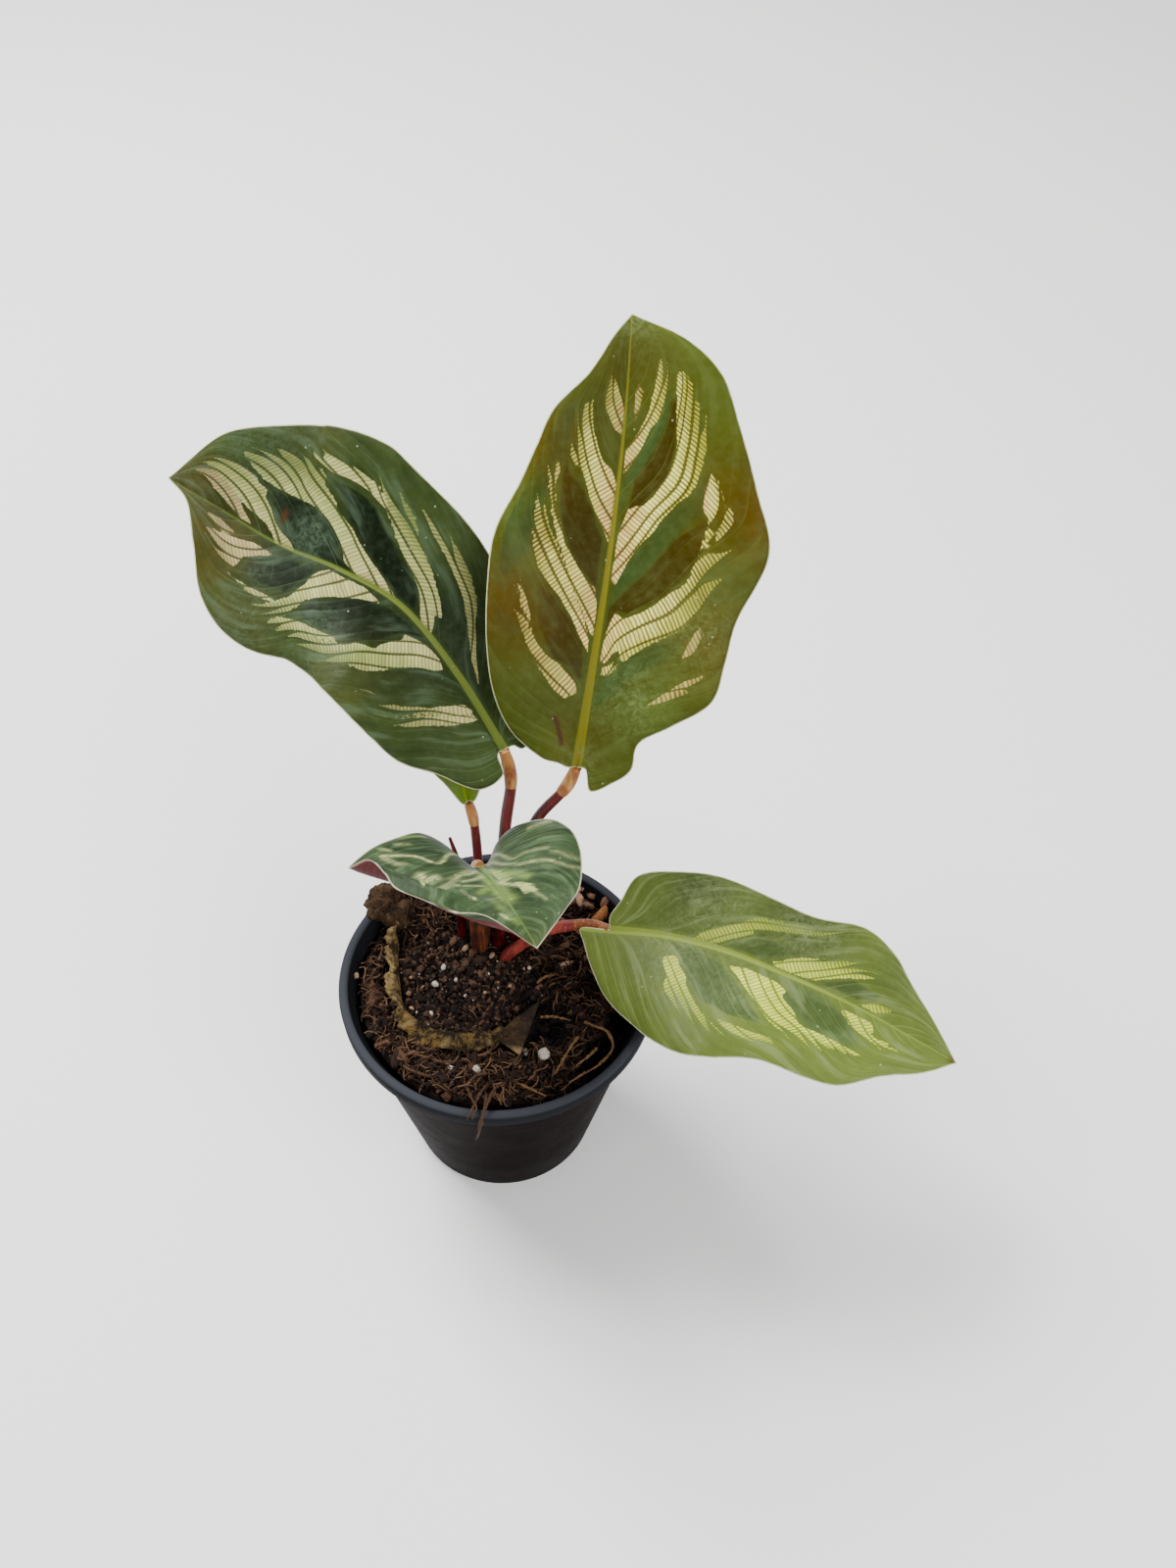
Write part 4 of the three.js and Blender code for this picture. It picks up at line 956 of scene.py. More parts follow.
class Graph:
    """Adds nodes to a tree and joins them; a value is a number, a colour, a socket or a node."""

    def __init__(self, tree):
        self.tree = tree

    def put(self, socket, value):
        if isinstance(value, bpy.types.Node):
            value = value.outputs[0]
        if isinstance(value, bpy.types.NodeSocket):
            self.tree.links.new(value, socket)
        elif value is not None:
            socket.default_value = value

    def node(self, kind, inputs=(), **settings):
        made = self.tree.nodes.new(kind)
        for key, value in settings.items():
            setattr(made, key, value)
        for key, value in dict(inputs).items():
            self.put(made.inputs[key], value)
        return made

    def math(self, operation, a, b=None, c=None, clamp=False):
        made = self.node("ShaderNodeMath", operation=operation, use_clamp=clamp)
        for i, value in enumerate((a, b, c)):
            self.put(made.inputs[i], value)
        return made.outputs[0]

    def vector(self, operation, a, b):
        return self.node("ShaderNodeVectorMath", {0: a, 1: b}, operation=operation).outputs[0]

    def ramp(self, value, low, high, start=0.0, end=1.0, smooth=True):
        kind = "SMOOTHSTEP" if smooth else "LINEAR"
        made = self.node("ShaderNodeMapRange", interpolation_type=kind)
        for key, item in zip(("Value", "From Min", "From Max", "To Min", "To Max"),
                             (value, low, high, start, end)):
            self.put(made.inputs[key], item)
        return made.outputs[0]

    def mix(self, factor, a, b):
        made = self.node("ShaderNodeMix", data_type="RGBA")
        self.put(made.inputs[0], factor)
        self.put(made.inputs[6], colour(a))
        self.put(made.inputs[7], colour(b))
        return made.outputs[2]

    def times(self, a, b):
        return self.math("MULTIPLY", a, b)

    def off_centre(self, value):
        """How far a value lies from the middle between two whole numbers."""
        return self.math("ABSOLUTE", self.math("SUBTRACT", self.math("FRACT", value), 0.5))

    def layers(self, body, *layers):
        """Lays colours over a body, each as a pair of its share and the colour."""
        for share, shade in layers:
            body = self.mix(share, body, shade)
        return body

    def read(self, name):
        return self.node("ShaderNodeAttribute", attribute_name=name).outputs["Fac"]

    def place(self):
        return self.node("ShaderNodeTexCoord").outputs["Object"]

    def stretched(self, share):
        """Object coordinates that draw a pattern out along the upright axis."""
        return self.node("ShaderNodeMapping", {"Vector": self.place(), "Scale": (1.0, 1.0, share)})

    def axis(self, letter):
        return self.node("ShaderNodeSeparateXYZ", {"Vector": self.place()}).outputs[letter]

    def noise(self, scale, detail=3.0, rough=0.55, vector=None, distortion=0.0):
        return self.node("ShaderNodeTexNoise", {
            "Scale": scale, "Detail": detail, "Roughness": rough, "Distortion": distortion,
            "Vector": self.place() if vector is None else vector}).outputs["Fac"]

    def chance(self, a, b):
        """A repeatable number from 0 to 1 for each pair of whole numbers."""
        pair = self.node("ShaderNodeCombineXYZ", {"X": a, "Y": b})
        made = self.node("ShaderNodeTexWhiteNoise", {"Vector": pair}, noise_dimensions="2D")
        return made.outputs["Value"]


def colour(value):
    """A linear colour from 8-bit display values, or the value itself."""
    if isinstance(value, tuple) and len(value) == 3:
        parts = [v / 255 for v in value]
        return tuple(p / 12.92 if p <= .04045 else ((p + .055) / 1.055) ** 2.4 for p in parts) + (1,)
    return value


def new_group(name, kind, inputs, outputs):
    """An empty node group with named sockets, its inputs by name and its output node."""
    tree = bpy.data.node_groups.new(name, kind)
    for label, socket, default in inputs:
        made = tree.interface.new_socket(name=label, in_out="INPUT", socket_type=socket)
        if default is not None:
            made.default_value = colour(default)
    for label, socket in outputs:
        tree.interface.new_socket(name=label, in_out="OUTPUT", socket_type=socket)
    given, result = tree.nodes.new("NodeGroupInput"), tree.nodes.new("NodeGroupOutput")
    return Graph(tree), given.outputs, result


def geometry_group(name, *inputs):
    """An empty geometry group, which takes a material too."""
    kind = "NodeSocketGeometry"
    inputs = [("Geometry", kind, None), *inputs, ("Finish", "NodeSocketMaterial", None)]
    return new_group(name, "GeometryNodeTree", inputs, [("Geometry", kind)])


def end_group(g, geometry, finish, result):
    """Makes instances real, gives them their material and returns the finished group."""
    real = g.node("GeometryNodeRealizeInstances", {"Geometry": geometry})
    g.put(result.inputs[0], g.node("GeometryNodeSetMaterial", {"Geometry": real, "Material": finish}))
    return g.tree


class Skin(Graph):
    """A material with its Principled shader, whose constant values are set at once."""

    def __init__(self, name, **sockets):
        self.material = bpy.data.materials.new(name)
        self.material.use_nodes = True
        super().__init__(self.material.node_tree)
        self.shader = self.tree.nodes["Principled BSDF"].inputs
        for key, value in sockets.items():
            self.shader[key.replace("_", " ")].default_value = colour(value)

    def finish(self, body, height, distance, strength):
        """Joins the colour and the relief, whose depth is in millimetres."""
        self.put(self.shader["Base Color"], body)
        self.put(self.shader["Normal"], self.node("ShaderNodeBump", {
            "Height": height, "Distance": distance * MM, "Strength": strength}))
        return self.material


# The blades' pattern
# The pattern's inputs with their defaults; the pitch of the rungs and the line width in millimetres
PATTERN_COLOURS = {
    "Ground": (59, 73, 26), "Dark": (47, 46, 1), "Teal": (51, 78, 41), "Window": (245, 250, 60),
    "Warm": (205, 137, 56), "Rung": (79, 78, 29), "Rib": (97, 96, 26), "Stain": (71, 60, 1),
    "Vein": (86, 95, 43), "Under": (74, 22, 30), "Haze": (111, 141, 77), "Edge": (190, 190, 150),
    "Line": (70, 66, 14), "Gold": (150, 175, 84), "Tint": (190, 200, 80),
}
PATTERN_NUMBERS = {
    "Pitch": 0.66, "Rib far": 0.5, "Gap depth": 0.8, "Vein amount": 0.5, "Inner": 0.0,
    "Line width": 0.2, "Brush": 0.15, "Warm foot": 0.0,
}
# Kind, the brushed noise's low and high end, the least share, and the colour of each stroke; the pale
# strokes are partly pale streaks and partly painted highlights
STROKE_LOOKS = (("shade", 0.3, 0.6, 0.4, "Dark"), ("gold", 0.35, 0.65, 0.3, "Gold"),
                ("pale", 0.38, 0.62, 0.15, "Window"))


def leaf_pattern():
    """Colours and relief of a blade from the attributes that its mesh keeps."""
    inputs = [(name, COLOUR, default) for name, default in PATTERN_COLOURS.items()]
    inputs += [(name, FLOAT, default) for name, default in PATTERN_NUMBERS.items()]
    g, get, result = new_group("leaf_pattern", "ShaderNodeTree", inputs, [
        ("Colour", COLOUR), ("Gloss", FLOAT), ("Height", FLOAT)])
    lane_place, outer = g.read("lane"), g.read("outer")
    lane = g.math("FLOOR", lane_place)
    in_lane = g.off_centre(lane_place)
    span = g.read("span")
    line = g.times(g.math("SUBTRACT", 0.5, in_lane), span)
    soft, mottle, wobble = g.noise(120, 3, 0.55), g.noise(700, 4, 0.6), g.noise(500, 2, 0.5)
    # The rungs, numbered out along each finger of a window
    finger = g.math("MULTIPLY_ADD", g.math("ROUND", g.read("pane")), 71.0, lane)
    start = g.times(g.chance(finger, 7.0), 9.0)
    rung = g.math("ADD", g.math("DIVIDE", g.read("rung"), get["Pitch"]), start)
    rung = g.math("MULTIPLY_ADD", wobble, 0.7, rung)
    number = g.math("FLOOR", rung)
    luck, other_luck = g.chance(finger, number), g.chance(number, finger)
    width = g.math("MULTIPLY_ADD", other_luck, 0.12, g.ramp(outer, 0.2, 1, 0.22, 0.17))
    stripe = g.ramp(g.math("SUBTRACT", g.off_centre(rung), width), -0.07, 0.07, 1.0, 0.0)
    # Each rung ends a little sooner or later, and each finger runs out in its own point
    ragged = g.math("MULTIPLY_ADD", g.math("SUBTRACT", luck, 0.5),
                    g.ramp(outer, 0.3, 1, 0.1, 0.4), g.read("window"))
    left_over = g.math("MULTIPLY_ADD", g.chance(finger, 3.0), -2.6, g.read("end"))
    taper = g.ramp(left_over, -0.6, 6.0, 0.0, 0.56, False)
    point = g.times(g.math("SUBTRACT", taper, in_lane), span)
    inside = g.ramp(g.math("MINIMUM", ragged, point), -0.14, 0.0)
    fading = g.times(g.read("strength"), g.ramp(outer, 0.5, 1, 1.0, 0.5))
    shown = g.times(inside, fading)
    # The fine veins, and noise drawn out along them
    width = g.times(get["Line width"], g.ramp(outer, 0.2, 1, 0.85, 1.3))
    dark_vein = g.ramp(line, g.times(width, 0.45), width, 1.0, 0.0)
    pale_vein = g.times(g.ramp(line, 0.04, 0.13, 1.0, 0.0), g.ramp(g.chance(lane, 11.0), 0.3, 0.8))
    grain = g.node("ShaderNodeCombineXYZ", {
        "X": g.times(g.read("rung"), 0.3), "Y": g.times(lane_place, 2.6)})
    brushed = g.noise(1.6, 5, 0.7, vector=grain, distortion=0.4)
    broad = g.noise(0.3, 3, 0.5, vector=grain)
    # The greens between the windows
    edge_wobble = g.times(g.math("SUBTRACT", g.noise(260, 1), 0.5), 0.8)
    toward_margin = g.ramp(g.math("ABSOLUTE", g.read("across")), 0.3, 0.85, 1.0, 0.0)
    vein_share = g.times(pale_vein, get["Vein amount"])
    ground = g.layers(
        get["Ground"],
        (g.times(get["Inner"], toward_margin), get["Dark"]),
        (g.ramp(g.math("ADD", g.read("teal"), edge_wobble), -0.9, 1.1), get["Teal"]),
        (g.ramp(g.math("ADD", g.read("dark"), edge_wobble), -0.25, 0.45), get["Dark"]),
        (g.times(g.read("stain"), g.ramp(soft, 0.25, 0.6, 0.5, 1.0)), get["Stain"]),
        (g.ramp(soft, 0.35, 0.7, 0.3, 0.0), get["Dark"]),
        (g.ramp(mottle, 0.35, 0.75, 0.0, 0.07), get["Haze"]),
        (g.times(vein_share, g.ramp(soft, 0.35, 0.6, 0.4, 1.0)), get["Vein"]),
        (g.times(g.ramp(broad, 0.5, 0.68), get["Brush"]), get["Haze"]),
        (g.times(g.ramp(broad, 0.3, 0.48, 1.0, 0.0), get["Brush"]), get["Dark"]),
    )
    # The windows, with their rungs and the gaps between them
    foot = g.times(get["Warm foot"], g.ramp(outer, 0, 0.5, 1.0, 0.0))
    warm = g.math("MAXIMUM", g.read("warmth"), foot)
    tint = g.times(g.ramp(broad, 0.38, 0.62, 0.3, 1.0), g.ramp(outer, 0.1, 0.9, 0.35, 1.0))
    cream = g.layers(
        get["Window"],
        (tint, get["Tint"]),
        (g.times(warm, g.ramp(luck, 0, 1, 0.6, 1.1)), get["Warm"]),
        (g.ramp(other_luck, 0, 1, 0.0, 0.35), get["Rung"]),
        (g.ramp(soft, 0.35, 0.65, 0.22, 0.0), get["Rung"]),
    )
    gap_share = g.times(g.ramp(outer, 0, 1, 0.75, 1.0), g.ramp(luck, 0, 1, 0.7, 1.0))
    gap = g.mix(g.times(get["Gap depth"], gap_share), cream, get["Rung"])
    pane = g.layers(gap, (stripe, cream), (g.times(dark_vein, 0.85), get["Line"]))
    face = g.mix(shown, ground, pane)
    # On the front blade the pale strokes are partly pale streaks and partly painted highlights
    for kind, low, high, least, shade in STROKE_LOOKS:
        face = g.mix(g.times(g.read(kind), g.ramp(brushed, low, high, least, 1.0)), face, get[shade])
    # Midrib, pale haze that is partly dried water and partly painted sheen, specks, scars and the pale
    # margin
    rib = g.ramp(g.read("rib"), 0.75, 1.1, 1.0, 0.0)
    rib_side = g.math("SUBTRACT", g.ramp(g.read("rib"), 1.3, 2.0, 1.0, 0.0), rib)
    rib_far = g.ramp(g.read("along"), 0.5, 0.85, 0.92, get["Rib far"])
    streaky = g.noise(650, 6, 0.75, distortion=1.2)
    # Pale haze, partly dried water and partly painted sheen, broken up by streaky noise
    haze = g.times(g.read("haze"), g.ramp(streaky, 0.38, 0.7, 0.1, 0.75))
    specks = g.node("ShaderNodeTexVoronoi", {"Scale": 420.0, "Vector": g.place()})
    speck = g.ramp(specks.outputs["Distance"], 0.05, 0.09, 0.5, 0.0)
    edge = g.ramp(g.math("MULTIPLY_ADD", wobble, 0.2, g.read("margin")), 0.2, 0.36, 0.8, 0.0)
    face = g.layers(
        face,
        (g.times(rib_side, 0.45), get["Ground"]),
        (g.times(rib, rib_far), get["Rib"]),
        (haze, get["Haze"]),
        (g.times(speck, g.ramp(g.noise(200, 2), 0.52, 0.6)), (170, 180, 160)),
        (g.math("MULTIPLY", g.read("scar"), 1.3, clamp=True), (62, 42, 24)),
        (edge, get["Edge"]),
    )
    # The maroon underside, where windows, veins and midrib show faintly
    back = g.layers(
        get["Under"],
        (g.times(shown, 0.22), (130, 84, 80)),
        (g.times(pale_vein, 0.4), (112, 56, 58)),
        (g.ramp(broad, 0.35, 0.65, 0.0, 0.3), (48, 14, 20)),
        (g.ramp(mottle, 0.3, 0.7, 0.0, 0.35), (50, 15, 21)),
        (g.times(rib, 0.8), (120, 84, 50)),
        (g.times(edge, 0.7), (150, 120, 100)),
    )
    # Relief: panes between the veins, sunk veins, rungs and fine grain
    relief = g.math("ADD", g.ramp(line, 0.0, 0.9, 0.0, 0.6), g.times(dark_vein, -0.25))
    relief = g.math("ADD", relief, g.times(g.times(stripe, inside), 0.1))
    dull = g.math("MAXIMUM", haze, g.ramp(g.noise(60, 3, 0.6), 0.35, 0.65))
    g.put(result.inputs["Colour"], g.mix(g.ramp(g.read("under"), 0.45, 0.55), face, back))
    g.put(result.inputs["Gloss"], g.ramp(dull, 0.0, 1.0))
    g.put(result.inputs["Height"], g.math("MULTIPLY_ADD", mottle, 0.18, relief))
    return g.tree


# Each leaf's slot, its gloss and the values that it gives the pattern
LEAF_LOOKS = {
    "left": ("leaf_bluish", 0.05, dict(
        Ground=(48, 60, 25), Dark=(13, 21, 8), Teal=(32, 49, 34), Window=(196, 198, 130),
        Tint=(140, 156, 76), Warm=(184, 154, 116), Rung=(78, 84, 38), Rib=(92, 104, 42),
        Stain=(70, 60, 16), Line=(26, 36, 10), Vein=(80, 98, 62), Haze=(92, 112, 88), Gap_depth=0.75,
        Warm_foot=0.45, Rib_far=0.35, Vein_amount=0.5, Inner=0.6, Pitch=0.64, Line_width=0.42,
        Brush=0.25)),
    "top": ("leaf_olive", 0.04, dict(
        Ground=(64, 74, 20), Dark=(46, 38, 0), Teal=(44, 64, 26), Window=(252, 250, 140),
        Tint=(190, 196, 62), Warm=(240, 186, 128), Rung=(72, 60, 4), Rib=(106, 100, 26),
        Stain=(74, 54, 0), Line=(48, 44, 0), Vein=(88, 96, 40), Haze=(112, 132, 80), Gap_depth=1.0,
        Warm_foot=0.75, Rib_far=0.75, Vein_amount=0.5, Inner=0.35, Pitch=0.66, Line_width=0.4,
        Brush=0.08)),
    "front": ("leaf_grey", 0.11, dict(
        Ground=(44, 60, 34), Dark=(16, 30, 13), Teal=(37, 54, 34), Window=(182, 186, 130),
        Warm=(174, 190, 80), Rung=(100, 120, 66), Rib=(84, 108, 50), Stain=(87, 91, 48),
        Line=(52, 74, 40), Vein=(96, 124, 78), Under=(82, 28, 28), Haze=(88, 108, 76),
        Gold=(132, 158, 74), Edge=(184, 174, 152), Gap_depth=0.2, Vein_amount=0.2, Brush=0.5)),
    "right": ("leaf_lime", 0.1, dict(
        Ground=(92, 107, 40), Dark=(58, 74, 33), Teal=(72, 90, 50), Window=(240, 248, 104),
        Tint=(162, 178, 44), Warm=(235, 240, 60), Rung=(108, 124, 26), Rib=(122, 138, 54),
        Stain=(48, 58, 24), Line=(80, 98, 24), Vein=(142, 156, 100), Haze=(136, 150, 102),
        Gap_depth=1.0, Vein_amount=0.4, Inner=0.1, Pitch=0.64, Line_width=0.34, Brush=0.3)),
    "young": ("leaf_lime", 0.1, dict(
        Ground=(87, 110, 28), Dark=(60, 82, 30), Teal=(73, 99, 46), Window=(216, 240, 60),
        Warm=(198, 219, 60), Rung=(92, 113, 30), Rib=(112, 136, 23), Stain=(96, 92, 25),
        Vein=(112, 135, 47), Haze=(122, 156, 87), Gap_depth=0.8, Vein_amount=0.4)),
}


def leaf_material(name, pattern):
    slot, gloss, look = LEAF_LOOKS[name]
    g = Skin(f"leaf_{name}", Specular_IOR_Level=gloss)
    looks = {key.replace("_", " "): colour(value) for key, value in look.items()}
    made = g.node("ShaderNodeGroup", looks, node_tree=pattern)
    g.put(g.shader["Roughness"], g.ramp(made.outputs["Gloss"], 0, 1, 0.34, 0.52))
    return slot, g.finish(made.outputs["Colour"], made.outputs["Height"], 0.08, 0.4)


# Stalks and fibres
def curve_object(name, points, radii):
    """A poly curve in metres with a radius at each point."""
    data = bpy.data.curves.new(name, "CURVE")
    data.dimensions = "3D"
    line = data.splines.new("POLY")
    line.points.add(len(points) - 1)
    for point, place, radius in zip(line.points, points, radii):
        point.co = (*(float(c) * MM for c in place), 1)
        point.radius = float(radius)
    return new_object(name, data)


def stalk_tube():
    """A tree that sweeps a round section along a curve and closes both ends, built once."""
    if "stalk_tube" in bpy.data.node_groups:
        return bpy.data.node_groups["stalk_tube"]
    g, get, result = geometry_group("stalk_tube", ("Radius", FLOAT, 0.001), ("Sides", WHOLE, 16))
    section = g.node("GeometryNodeCurvePrimitiveCircle", {"Resolution": get["Sides"],
                                                          "Radius": get["Radius"]})
    tube = g.node("GeometryNodeCurveToMesh", {
        "Curve": get["Geometry"], "Profile Curve": section,
        "Scale": g.node("GeometryNodeInputRadius"), "Fill Caps": True})
    smooth = g.node("GeometryNodeSetShadeSmooth", {"Geometry": tube})
    return end_group(g, smooth, get["Finish"], result)


def swept(name, points, radius, finish, count, sides, profile):
    """A closed tube through points, its radius changed along it by the profile."""
    line = even_curve(points, count)
    piece = curve_object(name + "_line", line, profile(np.linspace(0, 1, count)))
    return with_nodes(piece, name, stalk_tube(), radius=radius * MM, sides=sides, finish=finish)


def split_at_collar(stalk):
    """The points of the red stalk and of its yellow joint."""
    line = even_curve(stalk["points"], 121)
    at = int(np.argmax(line[:, 2] >= stalk["collar"]))
    return line[:at + 1], line[at:]


# Scattered pieces
HALF_TURN = 3.1416


def scatter_tree(name, make_shape):
    """Scatters one kind of small piece over a surface."""
    g, get, result = geometry_group(
        name, ("Density", FLOAT, 1e6), ("Size", FLOAT, 0.001), ("Least", FLOAT, 0.4),
        ("Seed", WHOLE, 1), ("Tilt", FLOAT, HALF_TURN))
    spread = g.node("GeometryNodeDistributePointsOnFaces", {
        "Mesh": get["Geometry"], "Density": get["Density"], "Seed": get["Seed"]})
    back = g.times(get["Tilt"], -1.0)
    turn = g.node("FunctionNodeRandomValue", {
        0: g.node("ShaderNodeCombineXYZ", {"X": back, "Y": back, "Z": -HALF_TURN}),
        1: g.node("ShaderNodeCombineXYZ", {"X": get["Tilt"], "Y": get["Tilt"], "Z": HALF_TURN}),
        "Seed": 3}, data_type="FLOAT_VECTOR")
    size = g.node("FunctionNodeRandomValue", {2: get["Least"], 3: 1.0, "Seed": 5}, data_type="FLOAT")
    placed = g.node("GeometryNodeInstanceOnPoints", {
        "Points": spread, "Instance": make_shape(g), "Rotation": turn,
        "Scale": g.times(size.outputs[1], get["Size"])})
    luck = g.node("FunctionNodeRandomValue", {"Seed": 9}, data_type="FLOAT")
    stored = g.node("GeometryNodeStoreNamedAttribute", {
        "Geometry": placed, "Name": "luck", "Value": luck.outputs[1]},
        data_type="FLOAT", domain="INSTANCE")
    return end_group(g, stored, get["Finish"], result)


def rough_grain(g, detail, amount, scale, offset, stretch):
    """A lump of unit size with an uneven face, drawn out by the stretch."""
    ball = g.node("GeometryNodeMeshIcoSphere", {"Radius": 1.0, "Subdivisions": detail})
    moved = g.vector("ADD", g.node("GeometryNodeInputPosition"), (offset, offset, offset))
    bumps = g.node("ShaderNodeTexNoise", {"Scale": scale, "Detail": 2.0, "Vector": moved})
    push = g.vector("SUBTRACT", bumps.outputs["Color"], (0.5, 0.5, 0.5))
    push = g.node("ShaderNodeVectorMath", {0: push, "Scale": 2 * amount}, operation="SCALE")
    rough = g.node("GeometryNodeSetPosition", {"Geometry": ball, "Offset": push})
    return g.node("GeometryNodeTransform", {"Geometry": rough, "Scale": stretch})


def curled_fibre(g):
    """A thin curled strand of unit length."""
    strand = g.node("GeometryNodeCurvePrimitiveBezierSegment", {
        "Resolution": 7, "Start": (-0.5, 0, 0), "Start Handle": (-0.2, 0.22, 0.12),
        "End Handle": (0.15, -0.28, 0.1), "End": (0.5, 0.05, -0.05)})
    section = g.node("GeometryNodeCurvePrimitiveCircle", {"Resolution": 3, "Radius": 0.042})
    return g.node("GeometryNodeCurveToMesh", {
        "Curve": strand, "Profile Curve": section, "Fill Caps": True})


# Soil
# Rings and sectors of the bed and its gap to the pot; half the side and the cell of the sheets to
# scatter on, and how far these keep from the pot and from the sleeve
SOIL_GRID = (70, 200)
SOIL_GAP = 0.3
PATCH_HALF, PATCH_STEP = 28, 0.9
POT_CLEAR, SLEEVE_CLEAR = 0.9, 1.5
# Name, shape, whether in the plug, lift, density, size, least share, seed, tilt and finish
CRUMB_LAYERS = [
    ("fine_crumbs", "small", True, 0, 2.2e6, 0.6, 0.3, 4, 3.14, "peat"),
    ("outer_crumbs", "small", False, 0, 1.4e6, 0.6, 0.3, 5, 3.14, "coarse"),
    ("coarse_crumbs", "large", False, 0, 0.12e6, 1.2, 0.4, 8, 0.8, "coarse"),
    ("plug_clods", "large", True, 0, 0.12e6, 0.95, 0.4, 9, 0.8, "peat"),
    ("coir_strands", "strand", False, 0.5, 1.1e6, 4.6, 0.3, 12, 0.7, "coir"),
    ("plug_strands", "strand", True, 0.4, 0.2e6, 2.6, 0.35, 31, 0.7, "coir"),
    ("perlite_dust", "small", True, 0.2, 0.1e6, 0.36, 0.4, 40, 3.14, "perlite"),
    ("outer_dust", "small", False, 0.2, 0.03e6, 0.42, 0.4, 41, 3.14, "perlite"),
]
# Numbers of the paler roots
PALE_ROOTS = range(5, 11)
# Heights in metres between which the gaps of the soil turn dark with painted shade
DARK_DEPTH = (0.0415, 0.045)


def inner_radius(z):
    """The inner radius of the pot at a height."""
    low = POT["base"] - POT["wall"]
    high = POT["wall_top"] - POT["wall"]
    return low + (high - low) * z / (POT["height"] - POT["lip"])


def soil_height(x, y):
    """The height of the soil at a place in plan."""
    z = SOIL_LEVEL + 0.9 * plane_noise(x / 3.1, y / 3.1)
    z = z + 0.4 * plane_noise(x / 1.3 + 9, y / 1.3)
    for cx, cy, reach, rise in SOIL_FORMS:
        z = z + rise * np.exp(-((x - cx) ** 2 + (y - cy) ** 2) / reach ** 2)
    return z - 1.6 * np.exp(-((sleeve_distance(x, y, 1) / 1.8) ** 2))


def sleeve_distance(x, y, outward=0.0):
    """Distance in plan to the paper sleeve's path, or to a line beside it."""
    place = np.stack(np.broadcast_arrays(np.asarray(x, float), np.asarray(y, float)), -1)
    path = np.array(WRAP_PATH, float)
    path = path + outward * unit(path - path.mean(axis=0))
    return segment_distance(place.reshape(-1, 2), path).reshape(place.shape[:-1])


def soil_bed():
    """The closed body of soil, with clods and hollows on its upper face."""
    rings, sectors = SOIL_GRID
    bottom = POT["floor"] + SOIL_GAP
    reach = inner_radius(SOIL_LEVEL - 3) - SOIL_GAP
    angles = np.linspace(0, 2 * np.pi, sectors, endpoint=False)
    points = [[0, 0, float(soil_height(np.array(0.), np.array(0.)))]]
    for i in range(1, rings + 1):
        radius = reach * i / rings
        x, y = radius * np.cos(angles), radius * np.sin(angles)
        z = soil_height(x, y) - 0.35
        for a, b, c in zip(x, y, z):
            fine = noise.fractal(Vector((a / 1.2, b / 1.2, 3)), 0.8, 2.1, 3)
            points.append([a, b, c + 0.8 * fine])
    low = len(points)
    r = inner_radius(bottom) - SOIL_GAP
    points += [[r * math.cos(a), r * math.sin(a), bottom] for a in angles]
    foot = len(points)
    points.append([0, 0, bottom])
    faces = [(a, d, c, b) for a, b, c, d in ring_faces(1, rings + 1, sectors)]
    faces += fan_faces(0, 1, sectors) + fan_faces(foot, low, sectors, flip=True)
    return mesh_object("soil_bed", points, faces)


def soil_patch(name, keep, lift):
    """A sheet over part of the soil, only to scatter on."""
    points, faces, index = [], [], {}
    reach = inner_radius(SOIL_LEVEL - 3) - POT_CLEAR
    cells = np.arange(-PATCH_HALF, PATCH_HALF + PATCH_STEP, PATCH_STEP)
    heights = soil_height(*np.meshgrid(cells, cells, indexing="ij")) + lift
    sleeve = sleeve_distance(*np.meshgrid(cells, cells, indexing="ij"))
    for i, x in enumerate(cells):
        for j, y in enumerate(cells):
            index[i, j] = len(points)
            points.append([x, y, heights[i, j]])
    for i, x in enumerate(cells[:-1]):
        for j, y in enumerate(cells[:-1]):
            cx, cy = x + PATCH_STEP / 2, y + PATCH_STEP / 2
            inside = math.hypot(cx, cy) < reach and sleeve[i, j] > SLEEVE_CLEAR
            if inside and keep(cx, cy):
                faces.append((index[i, j], index[i + 1, j], index[i + 1, j + 1], index[i, j + 1]))
    return mesh_object(name, points, faces)


def in_plug(x, y):
    """Whether a place lies within the starter plug's ring."""
    far = math.hypot(x - PLUG["center"][0], (y - PLUG["center"][1]) * PLUG["flattened"])
    return far < PLUG["radius"]


def round_plug(x, y):
    return not in_plug(x, y)


def lump(name, center, radius, seed, detail, uneven):
    """A closed clod with an uneven face, about center."""
    shell = bmesh.new()
    bmesh.ops.create_icosphere(shell, subdivisions=detail, radius=1)
    middle = Vector(center)
    for vertex in shell.verts:
        out = vertex.co.normalized()
        swell = noise.fractal(out * 1.7 + Vector((seed, 0, 0)), 0.9, 2.2, 4)
        crumb = noise.fractal(out * 6 + Vector((0, seed, 0)), 0.7, 2.2, 3)
        vertex.co = (middle + out * radius * (1 + uneven * swell + 0.09 * crumb)) * MM
    for face in shell.faces:
        face.smooth = True
    return shell_object(name, shell)


def joined(name, pieces):
    """Several loose pieces as one object."""
    shell = bmesh.new()
    for piece in pieces:
        shell.from_mesh(piece.data)
        bpy.data.objects.remove(piece, do_unlink=True)
    return shell_object(name, shell)


